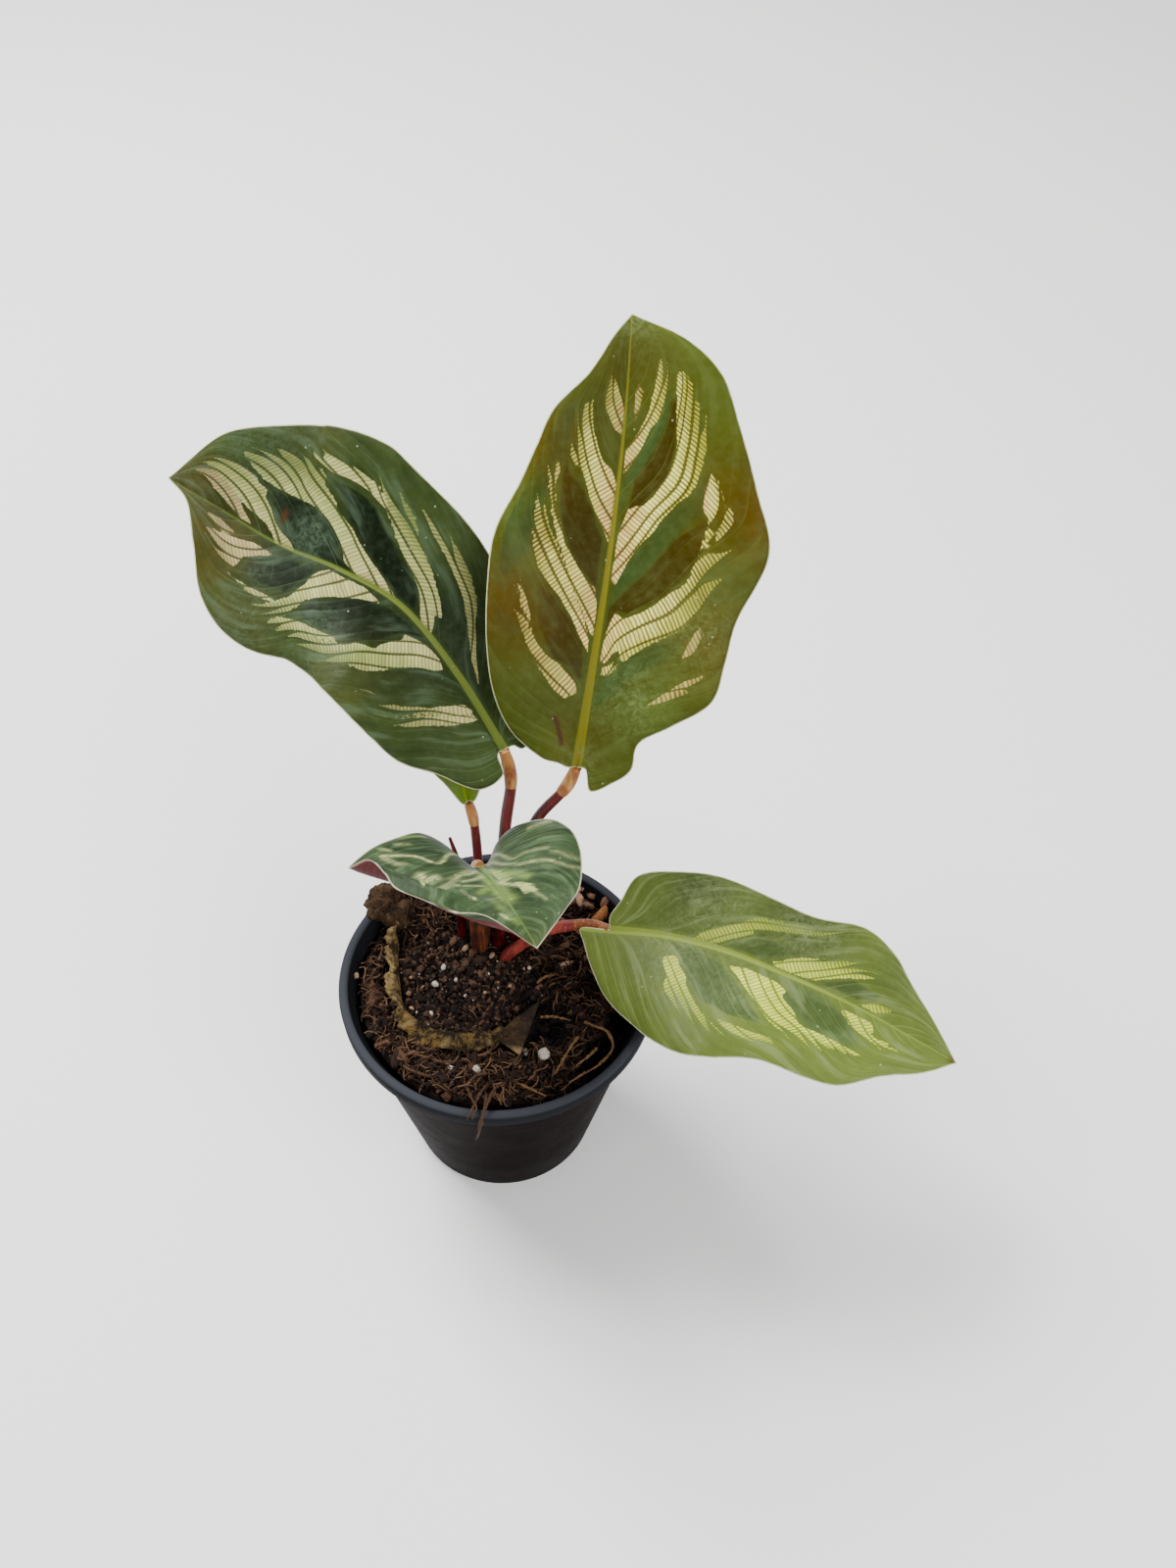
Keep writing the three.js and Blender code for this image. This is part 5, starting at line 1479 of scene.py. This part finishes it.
def earth_material(name, base, pale, deep):
    g = Skin(name, Roughness=0.9, Specular_IOR_Level=0.12)
    coarse, fine = g.noise(450, 5, 0.65), g.noise(2600, 4, 0.7)
    # The deep colour is painted shade, laid where the coarse relief is low
    body = g.mix(g.ramp(coarse, 0.35, 0.68), deep, base)
    body = g.mix(g.ramp(fine, 0.55, 0.8, 0.0, 0.7), body, pale)
    return g.finish(in_shade(g, body), g.math("ADD", coarse, g.times(fine, 0.5)), 0.8, 0.9)


def in_shade(g, body):
    """Paints shade over what lies deep between the lumps."""
    return g.mix(g.ramp(g.axis("Z"), *DARK_DEPTH, 0.92, 0.0), body, (6, 3, 3))


def grain_material(name, shades, rough=0.85):
    """A material whose colour runs through the shades from one grain to the next."""
    g = Skin(name, Roughness=rough, Specular_IOR_Level=0.2)
    luck, share = g.read("luck"), 1 / (len(shades) - 1)
    fine = g.noise(2200, 4, 0.7)
    steps = [(g.ramp(luck, (i + 0.2) * share, (i + 0.8) * share), shade)
             for i, shade in enumerate(shades[1:])]
    body = g.layers(shades[0], *steps, (g.ramp(fine, 0.35, 0.7, 0.55, 0.0), (18, 9, 6)))
    return g.finish(in_shade(g, body), fine, 0.4, 0.8)


def chip(name, center, radius, seed, stretch):
    """A small long lump, turned at random."""
    piece = lump(name, (0, 0, 0), radius, seed, 2, 0.45)
    rng = np.random.default_rng(int(seed * 10))
    turn = Matrix.Rotation(rng.uniform(0, 6.3), 4, "Z")
    turn = turn @ Matrix.Rotation(rng.uniform(-0.5, 0.5), 4, "Y")
    size = Matrix.Diagonal((stretch, 1, 0.8, 1))
    piece.data.transform(Matrix.Translation(Vector(center) * MM) @ turn @ size)
    return piece


def on_soil(x, y, lift):
    return (x, y, float(soil_height(np.array(x), np.array(y))) + lift)


def chip_group(name, rows, shape, stretch, rng, choose_luck):
    """Long lumps at (x, y, radius) on the soil as one object, each with its own shade."""
    rise, lift, size, seed, first_seed = shape
    chips = []
    for i, (x, y, r) in enumerate(rows):
        piece = chip(f"{name}_{i}", on_soil(x, y, rise * r + lift), size * r, seed * i + first_seed,
                     rng.uniform(*stretch))
        store(piece, "luck", choose_luck(i, r))
        chips.append(piece)
    return joined(name, chips)


def make_soil(settings):
    earth = earth_material("potting_earth", (30, 17, 11), (92, 66, 48), (7, 3, 2))
    attach(soil_bed(), "soil", "potting_soil", material=earth)
    finishes = {
        "peat": grain_material("peat_crumbs", [(12, 7, 4), (30, 18, 12), (84, 59, 44), (18, 10, 7)]),
        "coarse": grain_material("coir_crumbs", [(16, 8, 5), (38, 22, 14), (96, 66, 46), (22, 12, 8)]),
        "coir": grain_material("coir_fibre", [(26, 15, 10), (52, 33, 22), (122, 90, 64), (32, 19, 12)]),
        "perlite": grain_material("perlite", [(98, 70, 52), (158, 124, 100), (206, 194, 180)], 0.8),
    }
    trees = {
        "small": scatter_tree("small_crumbs",
                              lambda g: rough_grain(g, 1, 0.7, 2.2, 0.0, (1.3, 1.0, 0.7))),
        "large": scatter_tree("large_crumbs",
                              lambda g: rough_grain(g, 2, 0.8, 1.8, 4.0, (1.6, 0.9, 0.6))),
        "strand": scatter_tree("coir_strands", curled_fibre),
    }
    for name, shape, inside, lift, density, size, least, seed, tilt, finish in CRUMB_LAYERS:
        patch = soil_patch(name + "_ground", in_plug if inside else round_plug, lift)
        piece = with_nodes(patch, name, trees[shape], density=density * settings.crumb_share,
                           seed=seed, size=size * MM, least=least, tilt=tilt, finish=finishes[finish])
        attach(piece, "soil")
    rng = np.random.default_rng(7)
    grains = chip_group("perlite_grains", PERLITE, (0.6, 0.15, 0.8, 3.7, 0), (1, 1.9), rng,
                        lambda i, r: 0.95 if r > 0.75 or i % 5 == 0 else rng.uniform(0.1, 0.6))
    attach(grains, "soil", material=finishes["perlite"])
    bark = grain_material("bark_chips", [(120, 84, 66), (176, 136, 112), (164, 104, 56)])
    chips = chip_group("bark_pieces", BARK, (0.4, 0.3, 0.72, 9.1, 2), (1.5, 2.6), rng,
                       lambda i, r: 1.0 if r > 1.5 else rng.uniform(0, 0.6))
    attach(chips, "soil", material=bark)
    heap = [lump(f"heap_{i}", (x, y, z), r, 5.3 * i, 4, 0.3) for i, (x, y, z, r) in enumerate(HEAP)]
    clod = earth_material("clod_earth", (78, 58, 40), (146, 122, 94), (30, 20, 14))
    attach(joined("rim_clods", heap), "soil", material=clod)


def make_roots():
    root = grain_material("root_skin", [(46, 28, 18), (84, 58, 37), (132, 100, 63)], 0.7)
    rng = np.random.default_rng(21)
    for i, path in enumerate(FIBRES):
        pale = i in PALE_ROOTS
        piece = swept(f"root_{i + 1}", path, 0.26 if pale else 0.3, root, 48, 6,
                      lambda u: (1 - 0.6 * u ** 3) * (1 + 0.25 * np.sin(23 * u + i)))
        jitter_mesh(piece, rng, 0.06 * MM)
        store(piece, "luck", 0.8 if pale else 0.3)
        attach(piece, "soil")


def jitter_mesh(piece, rng, spread):
    """Moves each point of a mesh a little."""
    places = np.empty(len(piece.data.vertices) * 3)
    piece.data.vertices.foreach_get("co", places)
    places += rng.normal(0, spread, len(places))
    piece.data.vertices.foreach_set("co", places)
    piece.data.update()


# Pot
# Heights in metres between which the lip is painted paler, at its foot with a painted grey sheen and at
# its top with a painted highlight
LIP_SHEEN, LIP_HIGHLIGHT = (0.0442, 0.0448), (0.0472, 0.0478)


def pot_profile():
    """The section of the wall, lip and floor as (radius, height), outside first."""
    base, top, lip = POT["base"], POT["height"], POT["height"] - POT["lip"]
    rim, mouth = POT["rim"], POT["mouth"]
    outer = [(0, 0), (base - 0.9, 0), (base - 0.3, 0.15), (base, 0.6)]
    wall = [(base + (POT["wall_top"] - base) * k, 0.6 + (lip - 0.6) * k)
            for k in (0.25, 0.5, 0.75, 0.94)]
    skirt = [(POT["wall_top"], lip - 0.05), (rim - 0.9, lip - 0.05), (rim - 0.4, lip + 0.1),
             (rim - 0.15, lip + 0.45), (rim - 0.1, lip + 1.6)]
    middle, half = (rim + mouth) / 2, (rim - mouth) / 2
    roll = [(middle + half * math.cos(math.pi * k / 8), top - 0.75 + 0.75 * math.sin(math.pi * k / 8))
            for k in range(9)]
    inside = [(mouth - 0.05, top - 1.6), (inner_radius(lip) + 0.1, lip + 0.2),
              (inner_radius(lip), lip - 0.4)]
    inner = [(inner_radius(z), z) for z in (33, 22, 11, 3)]
    floor = [(inner_radius(POT["floor"]) - 0.8, POT["floor"]), (0, POT["floor"])]
    return outer + wall + skirt + roll + inside + inner + floor


def lathed(name, profile, sides):
    """Turns a section round the upright axis; its first and last points lie on the axis."""
    angles = [2 * math.pi * j / sides for j in range(sides)]
    body = profile[1:-1]
    points = [[0, 0, profile[0][1]]]
    points += [[r * math.cos(a), r * math.sin(a), z] for r, z in body for a in angles]
    end = len(points)
    points.append([0, 0, profile[-1][1]])
    faces = ring_faces(1, len(body), sides) + fan_faces(0, 1, sides, flip=True)
    return mesh_object(name, points, faces + fan_faces(end, end - sides, sides))


def drill(number):
    """A round bar that stands in the pot's floor where a drain hole goes."""
    angle = 2 * math.pi * number / DRAIN["count"]
    place = Vector((math.cos(angle), math.sin(angle), 0)) * DRAIN["ring"] * MM
    shell = bmesh.new()
    bmesh.ops.create_cone(shell, cap_ends=True, segments=28, radius1=DRAIN["radius"] * MM,
                          radius2=DRAIN["radius"] * MM, depth=4 * POT["floor"] * MM,
                          matrix=Matrix.Translation(place))
    return shell_object("drill", shell)


def pot_material(shade):
    g = Skin("pot_plastic", Specular_IOR_Level=0.006)
    scuffs, fine = g.noise(160, 5, 0.7), g.noise(1500, 4, 0.6)
    height = g.axis("Z")
    g.put(g.shader["Roughness"], g.ramp(scuffs, 0.3, 0.75, 0.42, 0.5))
    return g.finish(g.layers(
        shade,
        (g.ramp(scuffs, 0.45, 0.75, 0.0, 0.3), (20, 11, 12)),
        # Painted grey sheen over the lip, and a paler painted highlight along its top
        (g.ramp(height, *LIP_SHEEN), (27, 28, 31)),
        (g.ramp(height, *LIP_HIGHLIGHT), (52, 54, 59)),
        (g.ramp(fine, 0.64, 0.8, 0.0, 0.12), (60, 54, 52)),
    ), fine, 0.06, 0.5)


def make_pot(settings):
    wall = lathed("nursery_pot", pot_profile(), 160)
    turned_out(wall)
    drills = [drill(i) for i in range(DRAIN["count"])]
    for bar in drills:
        cut = wall.modifiers.new("drain", "BOOLEAN")
        cut.operation, cut.solver, cut.object = "DIFFERENCE", "EXACT", bar
    pot = made_plain(wall, "nursery_pot")
    for bar in drills:
        bpy.data.objects.remove(bar, do_unlink=True)
    attach(pot, "pot_plastic", "pot", material=pot_material(settings.pot_colour[:]))


# Paper sleeve and sheath
# Half the paper's thickness
PAPER_HALF = 0.25


def sleeve_section(u):
    """The middle line of the paper, as (outward, height), at a share u along the sleeve."""
    front = float(smoothstep(u, 0.4, 0.62))
    wide = float(smoothstep(u, 0, 0.12)) * (1 - 0.4 * float(smoothstep(u, 0.88, 1)))
    wide *= 0.55 + 0.55 * front
    inward, outward = WRAP_REACH["inward"] * wide, WRAP_REACH["outward"] * wide
    torn = noise.fractal(Vector((u * 34, 1, 0)), 0.7, 2.1, 4)
    folded = math.exp(-((u - 0.26) / 0.03) ** 2)
    foot, waist, neck, edge, fold, fold_top = WRAP_HEIGHTS
    edge += 0.8 * noise.noise(Vector((u * 15, 7, 0))) - 0.8 * float(smoothstep(u, 0.35, 0.6))
    tip = Vector((outward + torn, edge + 0.5 * torn)).lerp(Vector((-inward + 1.2, fold_top)), folded)
    bend = Vector((0.5 * (outward - inward), edge + 0.25)).lerp(Vector((-inward, fold)), folded)
    return [(-inward, foot), (-inward, waist), (-inward + 0.4, neck), bend, tip]


def crumple(u, level):
    """How far the paper swings out of its middle line."""
    crease = 0.9 * noise.fractal(Vector((u * 22, level * 2.5, 4)), 0.8, 2.1, 4)
    crease += 0.7 * noise.noise(Vector((u * 10, level, 2)))
    crease += 0.16 * math.sin(u * 110 + level * 5)
    return crease * float(smoothstep(level, 0.4, 0.8))


def paper_sleeve():
    """The torn strip round the plug, as a closed sheet."""
    line = even_curve([p + [0] for p in WRAP_PATH], 200)[:, :2]
    along = unit(np.gradient(line, axis=0))
    side = np.stack([along[:, 1], -along[:, 0]], -1)
    levels = np.linspace(0, 1, 16)
    ring = 2 * len(levels)
    points = []
    for i, u in enumerate(np.linspace(0, 1, len(line))):
        section = catmull(sleeve_section(u), levels)
        slope = unit(np.gradient(section, axis=0))
        order = list(range(len(levels)))
        for half, places in ((PAPER_HALF, order), (-PAPER_HALF, order[::-1])):
            for k in places:
                swing = crumple(u, levels[k]) + half * (1 - 0.5 * levels[k])
                x, y = line[i] + side[i] * (section[k, 0] + swing * slope[k, 1])
                points.append([x, y, section[k, 1] - swing * slope[k, 0]])
    last = len(points) - ring
    faces = ring_faces(0, len(line), ring)
    faces += [tuple(range(ring)), tuple(last + j for j in reversed(range(ring)))]
    sleeve = mesh_object("plug_sleeve", points, faces)
    turned_out(sleeve)
    return sleeve


def paper_material():
    g = Skin("torn_paper", Roughness=0.85, Specular_IOR_Level=0.2)
    stain = g.noise(330, 6, 0.75)
    crease = g.noise(700, 6, 0.7, distortion=2.5)
    x, y, z = g.axis("X"), g.axis("Y"), g.axis("Z")
    fresh = g.mix(g.ramp(stain, 0.42, 0.56), (58, 42, 22), (164, 136, 86))
    old = g.mix(g.ramp(stain, 0.45, 0.58), (22, 14, 7), (112, 86, 34))
    front = g.ramp(y, -0.011, -0.002, 1.0, 0.0)
    on_flap = g.ramp(x, 0.0, 0.002)
    flap_far = g.times(on_flap, g.ramp(y, -0.010, -0.006))
    flap_tip = g.times(on_flap, g.ramp(y, -0.0152, -0.0135, 1.0, 0.0))
    return g.finish(g.layers(
        fresh,
        (g.times(front, 0.85), old),
        # Painted highlight along the paper's upper edge
        (g.ramp(z, 0.0466, 0.0475, 0.0, 0.45), (172, 146, 96)),
        (g.times(on_flap, 0.75), (58, 42, 28)),
        (g.times(flap_far, 0.7), (22, 14, 9)),
        (g.times(flap_tip, 0.8), (186, 156, 112)),
        # Painted shade in the low folds of the crease relief
        (g.ramp(crease, 0.32, 0.5, 0.8, 0.0), (30, 19, 11)),
    ), g.math("ADD", crease, stain), 1.6, 1.0)


def make_wrap():
    paper = joined("plug_paper", [paper_sleeve(), folded_scrap()])
    attach(paper, "wrap_paper", "plug_wrap", material=paper_material())


def folded_scrap():
    """The stiff triangle of paper folded out of the sleeve's end."""
    a, b, c = (np.array(p, float) for p in WRAP_SCRAP)
    steps = 14
    top, faces, index = [], [], {}
    normal = unit(np.cross(b - a, c - a))
    if normal[2] < 0:
        normal = -normal
    for i in range(steps + 1):
        for j in range(steps + 1 - i):
            u, v = i / steps, j / steps
            p = a + (b - a) * u + (c - a) * v
            wave = 0.35 * noise.fractal(Vector((p[0] / 3, p[1] / 3, 8)), 0.9, 2.1, 3)
            index[i, j] = len(top)
            top.append(p + normal * (wave + 0.5 * math.sin(math.pi * (u + v))))
    count = len(top)
    low = [p - normal * 2 * PAPER_HALF for p in top]

    def both(*corners):
        face = [index[corner] for corner in corners]
        faces.extend([face, [count + k for k in reversed(face)]])
    for i in range(steps):
        for j in range(steps - i):
            both((i, j), (i + 1, j), (i, j + 1))
            if j < steps - i - 1:
                both((i + 1, j), (i + 1, j + 1), (i, j + 1))
    border = [index[i, 0] for i in range(steps)] + [index[steps - j, j] for j in range(steps)]
    border += [index[0, steps - j] for j in range(steps)]
    for first, second in zip(border, border[1:] + border[:1]):
        faces.append([second, first, count + first, count + second])
    piece = mesh_object("scrap", top + low, faces)
    turned_out(piece)
    return piece


def sheath_mesh():
    """The clasping sheaths as one fluted tuft with a torn top."""
    cx, cy = SHEATH["center"]
    bottom, top, foot = SHEATH["bottom"], SHEATH["top"], SHEATH["foot"]
    sides, steps = 72, 26
    points = []
    for t in (i / steps for i in range(steps + 1)):
        girth = (foot + (1 - foot) * min(1, 2.5 * t)) * (1 - 0.12 * t)
        for a in (2 * math.pi * j / sides for j in range(sides)):
            flute = 0.22 * math.sin(5 * a + 0.6) + 0.12 * math.sin(11 * a)
            torn = 1.5 * noise.fractal(Vector((3 * math.cos(a), 3 * math.sin(a), 2)), 0.9, 2.1, 4)
            points.append([cx + (SHEATH["spread"][0] * girth + flute) * math.cos(a),
                           cy + (SHEATH["spread"][1] * girth + flute) * math.sin(a),
                           bottom + (top + torn - bottom) * t])
    end = len(points)
    points += [[cx, cy, bottom], [cx, cy, top - 1.2]]
    faces = ring_faces(0, steps + 1, sides) + fan_faces(end, 0, sides, flip=True)
    piece = mesh_object("dry_sheath", points, faces + fan_faces(end + 1, end - sides, sides))
    turned_out(piece)
    return piece


def make_sheath():
    g = Skin("dry_sheath", Roughness=0.6, Specular_IOR_Level=0.35)
    strands = g.noise(2200, 3, 0.6, vector=g.stretched(0.08))
    body = g.mix(g.ramp(g.noise(300, 3, 0.6), 0.35, 0.65), (44, 18, 10), (92, 42, 18))
    body = g.mix(g.ramp(strands, 0.45, 0.75, 0.0, 0.6), body, (128, 72, 34))
    attach(sheath_mesh(), "dry_sheath", "crown_sheath", material=g.finish(body, strands, 0.5, 0.9))


# Stalks and blades
def stalk_material(name, base, light, deep, rough):
    g = Skin(name, Roughness=rough, Specular_IOR_Level=0.22)
    streaks = g.noise(1400, 3, 0.6, vector=g.stretched(0.12))
    body = g.mix(g.ramp(g.noise(180, 3, 0.6), 0.38, 0.64), deep, base)
    body = g.mix(g.ramp(streaks, 0.5, 0.75, 0.0, 0.6), body, light)
    return g.finish(body, g.math("ADD", streaks, g.noise(4200, 2)), 0.12, 0.6)


def make_stalks():
    red = stalk_material("petiole_skin", (84, 14, 13), (124, 36, 26), (48, 8, 9), 0.36)
    pink = stalk_material("petiole_pink", (150, 62, 50), (190, 104, 84), (110, 40, 36), 0.36)
    yellow = stalk_material("pulvinus_skin", (158, 108, 54), (196, 158, 98), (116, 58, 30), 0.42)
    for name, stalk in STALKS.items():
        stem, joint = split_at_collar(stalk)
        skin = pink if name == "right" else red
        piece = swept(f"stalk_{name}", stem, stalk["radius"], skin, 60, 18,
                      lambda u: 1.06 - 0.14 * u + 0.05 * np.sin(9 * u))
        attach(piece, "petiole_red", f"petiole_{name}")
        piece = swept(f"joint_{name}", joint, stalk["joint"], yellow, 26, 18,
                      lambda u: 0.96 + 0.1 * np.sin(np.pi * np.clip(u * 1.1, 0, 1)) - 0.1 * u ** 2)
        attach(piece, "pulvinus_yellow", f"pulvinus_{name}")
    piece = swept("shoot", SHOOT, 0.95, red, 40, 16, lambda u: 1 - 0.68 * u ** 2)
    attach(piece, "petiole_red", "young_shoot")


def make_blades(settings):
    pattern = leaf_pattern()
    for name, (steps, half_steps) in BLADE_STEPS.items():
        piece = blade_mesh(name, steps, half_steps, settings.blade_thickness / MM)
        slot, material = leaf_material(name, pattern)
        attach(piece, slot, f"blade_{name}", material=material)


# Stage
# Half the floor's side in millimetres, and the place in metres that the lights look at
FLOOR_HALF = 1500
AIM = Vector((0, 0, 0.08))
# The camera's place in millimetres, and the directions to its right, below it and ahead of it
CAMERA_PLACE = Vector((16.2, -167.6, 295.1))
CAMERA_RIGHT = Vector((0.9997, 0.0171, 0.0149))
CAMERA_DOWN = Vector((0.0227, -0.7522, -0.6585))
CAMERA_AHEAD = Vector((0, 0.6587, -0.7524))


def make_floor(shade):
    h = FLOOR_HALF
    floor = mesh_object("floor", [[-h, -h, 0], [h, -h, 0], [h, h, 0], [-h, h, 0]], [(0, 1, 2, 3)])
    skin = Skin("pale_floor", Base_Color=(*shade, 1), Roughness=0.85, Specular_IOR_Level=0.2)
    floor.data.materials.append(skin.material)


def make_lights(room, window):
    world = bpy.data.worlds.new("soft_room")
    bpy.context.scene.world = world
    world.use_nodes = True
    sky = world.node_tree.nodes["Background"].inputs
    sky["Color"].default_value = (1, 1, 1, 1)
    sky["Strength"].default_value = room
    # Name, place, size and power of each soft light
    lights = (
        ("window_light", (-0.35, 0.3, 0.75), 0.45, window),
        ("fill_light", (0.45, -0.5, 0.6), 0.6, window * 0.45),
    )
    for name, place, size, power in lights:
        data = bpy.data.lights.new(name, "AREA")
        data.size, data.energy = size, power
        lamp = new_object(name, data)
        lamp.location = place
        lamp.rotation_euler = (AIM - Vector(place)).to_track_quat("-Z", "Y").to_euler()


def make_stage(settings):
    make_floor(settings.floor_colour)
    make_lights(settings.room_light, settings.window_light)
    data = bpy.data.cameras.new("camera")
    data.lens, data.sensor_width, data.clip_start = 36, 36, 0.01
    camera = new_object("camera", data)
    turn = Matrix((CAMERA_RIGHT, -CAMERA_DOWN, -CAMERA_AHEAD)).transposed().to_4x4()
    camera.matrix_world = Matrix.Translation(CAMERA_PLACE * MM) @ turn
    bpy.context.scene.camera = camera


# Settings, operators and panel
class PlantSettings(bpy.types.PropertyGroup):
    """Sizes and colours of the plant, its pot and the stage."""

    blade_thickness: FloatProperty(name="Blade thickness", description="Thickness of a leaf blade",
                                   default=0.45 * MM, unit="LENGTH")
    crumb_share: FloatProperty(name="Crumbs", description="How densely crumbs and fibres lie",
                               default=1.0)
    pot_colour: FloatVectorProperty(name="Pot", description="Colour of the pot's plastic",
                                    subtype="COLOR", size=4, default=(0.0055, 0.0028, 0.0032, 1))
    floor_colour: FloatVectorProperty(name="Floor", description="Colour of the plain floor",
                                      subtype="COLOR", size=3, default=(0.86, 0.86, 0.85))
    room_light: FloatProperty(name="Room light", description="Strength of the light from all round",
                              default=0.6)
    window_light: FloatProperty(name="Window light", description="Power of the main soft light",
                                default=16.0, unit="POWER")


class PLANT_OT_stage(bpy.types.Operator):
    """Make the floor, the lights and the camera."""

    bl_idname = "plant.stage"
    bl_label = "Stage"

    def execute(self, context):
        make_stage(context.scene.plant_settings)
        return {"FINISHED"}


class PLANT_OT_pot(bpy.types.Operator):
    """Make the nursery pot with its drain holes."""

    bl_idname = "plant.pot"
    bl_label = "Pot"

    def execute(self, context):
        make_pot(context.scene.plant_settings)
        return {"FINISHED"}


class PLANT_OT_soil(bpy.types.Operator):
    """Make the soil with its crumbs, fibres and grains."""

    bl_idname = "plant.soil"
    bl_label = "Soil"

    def execute(self, context):
        make_soil(context.scene.plant_settings)
        return {"FINISHED"}


class PLANT_OT_roots(bpy.types.Operator):
    """Make the single roots on the soil."""

    bl_idname = "plant.roots"
    bl_label = "Roots"

    def execute(self, context):
        make_roots()
        return {"FINISHED"}


class PLANT_OT_wrap(bpy.types.Operator):
    """Make the torn paper round the plug."""

    bl_idname = "plant.wrap"
    bl_label = "Paper sleeve"

    def execute(self, context):
        make_wrap()
        return {"FINISHED"}


class PLANT_OT_sheath(bpy.types.Operator):
    """Make the dry sheath at the foot of the stalks."""

    bl_idname = "plant.sheath"
    bl_label = "Sheath"

    def execute(self, context):
        make_sheath()
        return {"FINISHED"}


class PLANT_OT_stalks(bpy.types.Operator):
    """Make the stalks, their joints and the shoot."""

    bl_idname = "plant.stalks"
    bl_label = "Stalks"

    def execute(self, context):
        make_stalks()
        return {"FINISHED"}


class PLANT_OT_blades(bpy.types.Operator):
    """Make the five patterned leaf blades."""

    bl_idname = "plant.blades"
    bl_label = "Blades"

    def execute(self, context):
        make_blades(context.scene.plant_settings)
        return {"FINISHED"}


OPERATORS = [
    PLANT_OT_stage, PLANT_OT_pot, PLANT_OT_soil, PLANT_OT_roots,
    PLANT_OT_wrap, PLANT_OT_sheath, PLANT_OT_stalks, PLANT_OT_blades,
]


class PLANT_PT_panel(bpy.types.Panel):
    """Lists the pieces of the plant."""

    bl_idname = "PLANT_PT_panel"
    bl_label = "Peacock plant"
    bl_space_type = "VIEW_3D"
    bl_region_type = "UI"
    bl_category = "Plant"

    def draw(self, context):
        for name in PlantSettings.__annotations__:
            self.layout.prop(context.scene.plant_settings, name)
        for operator in OPERATORS:
            self.layout.operator(operator.bl_idname)


CLASSES = [PlantSettings, *OPERATORS, PLANT_PT_panel]


def register():
    for item in CLASSES:
        bpy.utils.register_class(item)
    bpy.types.Scene.plant_settings = PointerProperty(type=PlantSettings)


def unregister():
    del bpy.types.Scene.plant_settings
    for item in reversed(CLASSES):
        bpy.utils.unregister_class(item)


def main():
    register()
    bpy.ops.plant.stage()
    bpy.ops.plant.pot()
    bpy.ops.plant.soil()
    bpy.ops.plant.roots()
    bpy.ops.plant.wrap()
    bpy.ops.plant.sheath()
    bpy.ops.plant.stalks()
    bpy.ops.plant.blades()


if __name__ == "__main__":
    main()
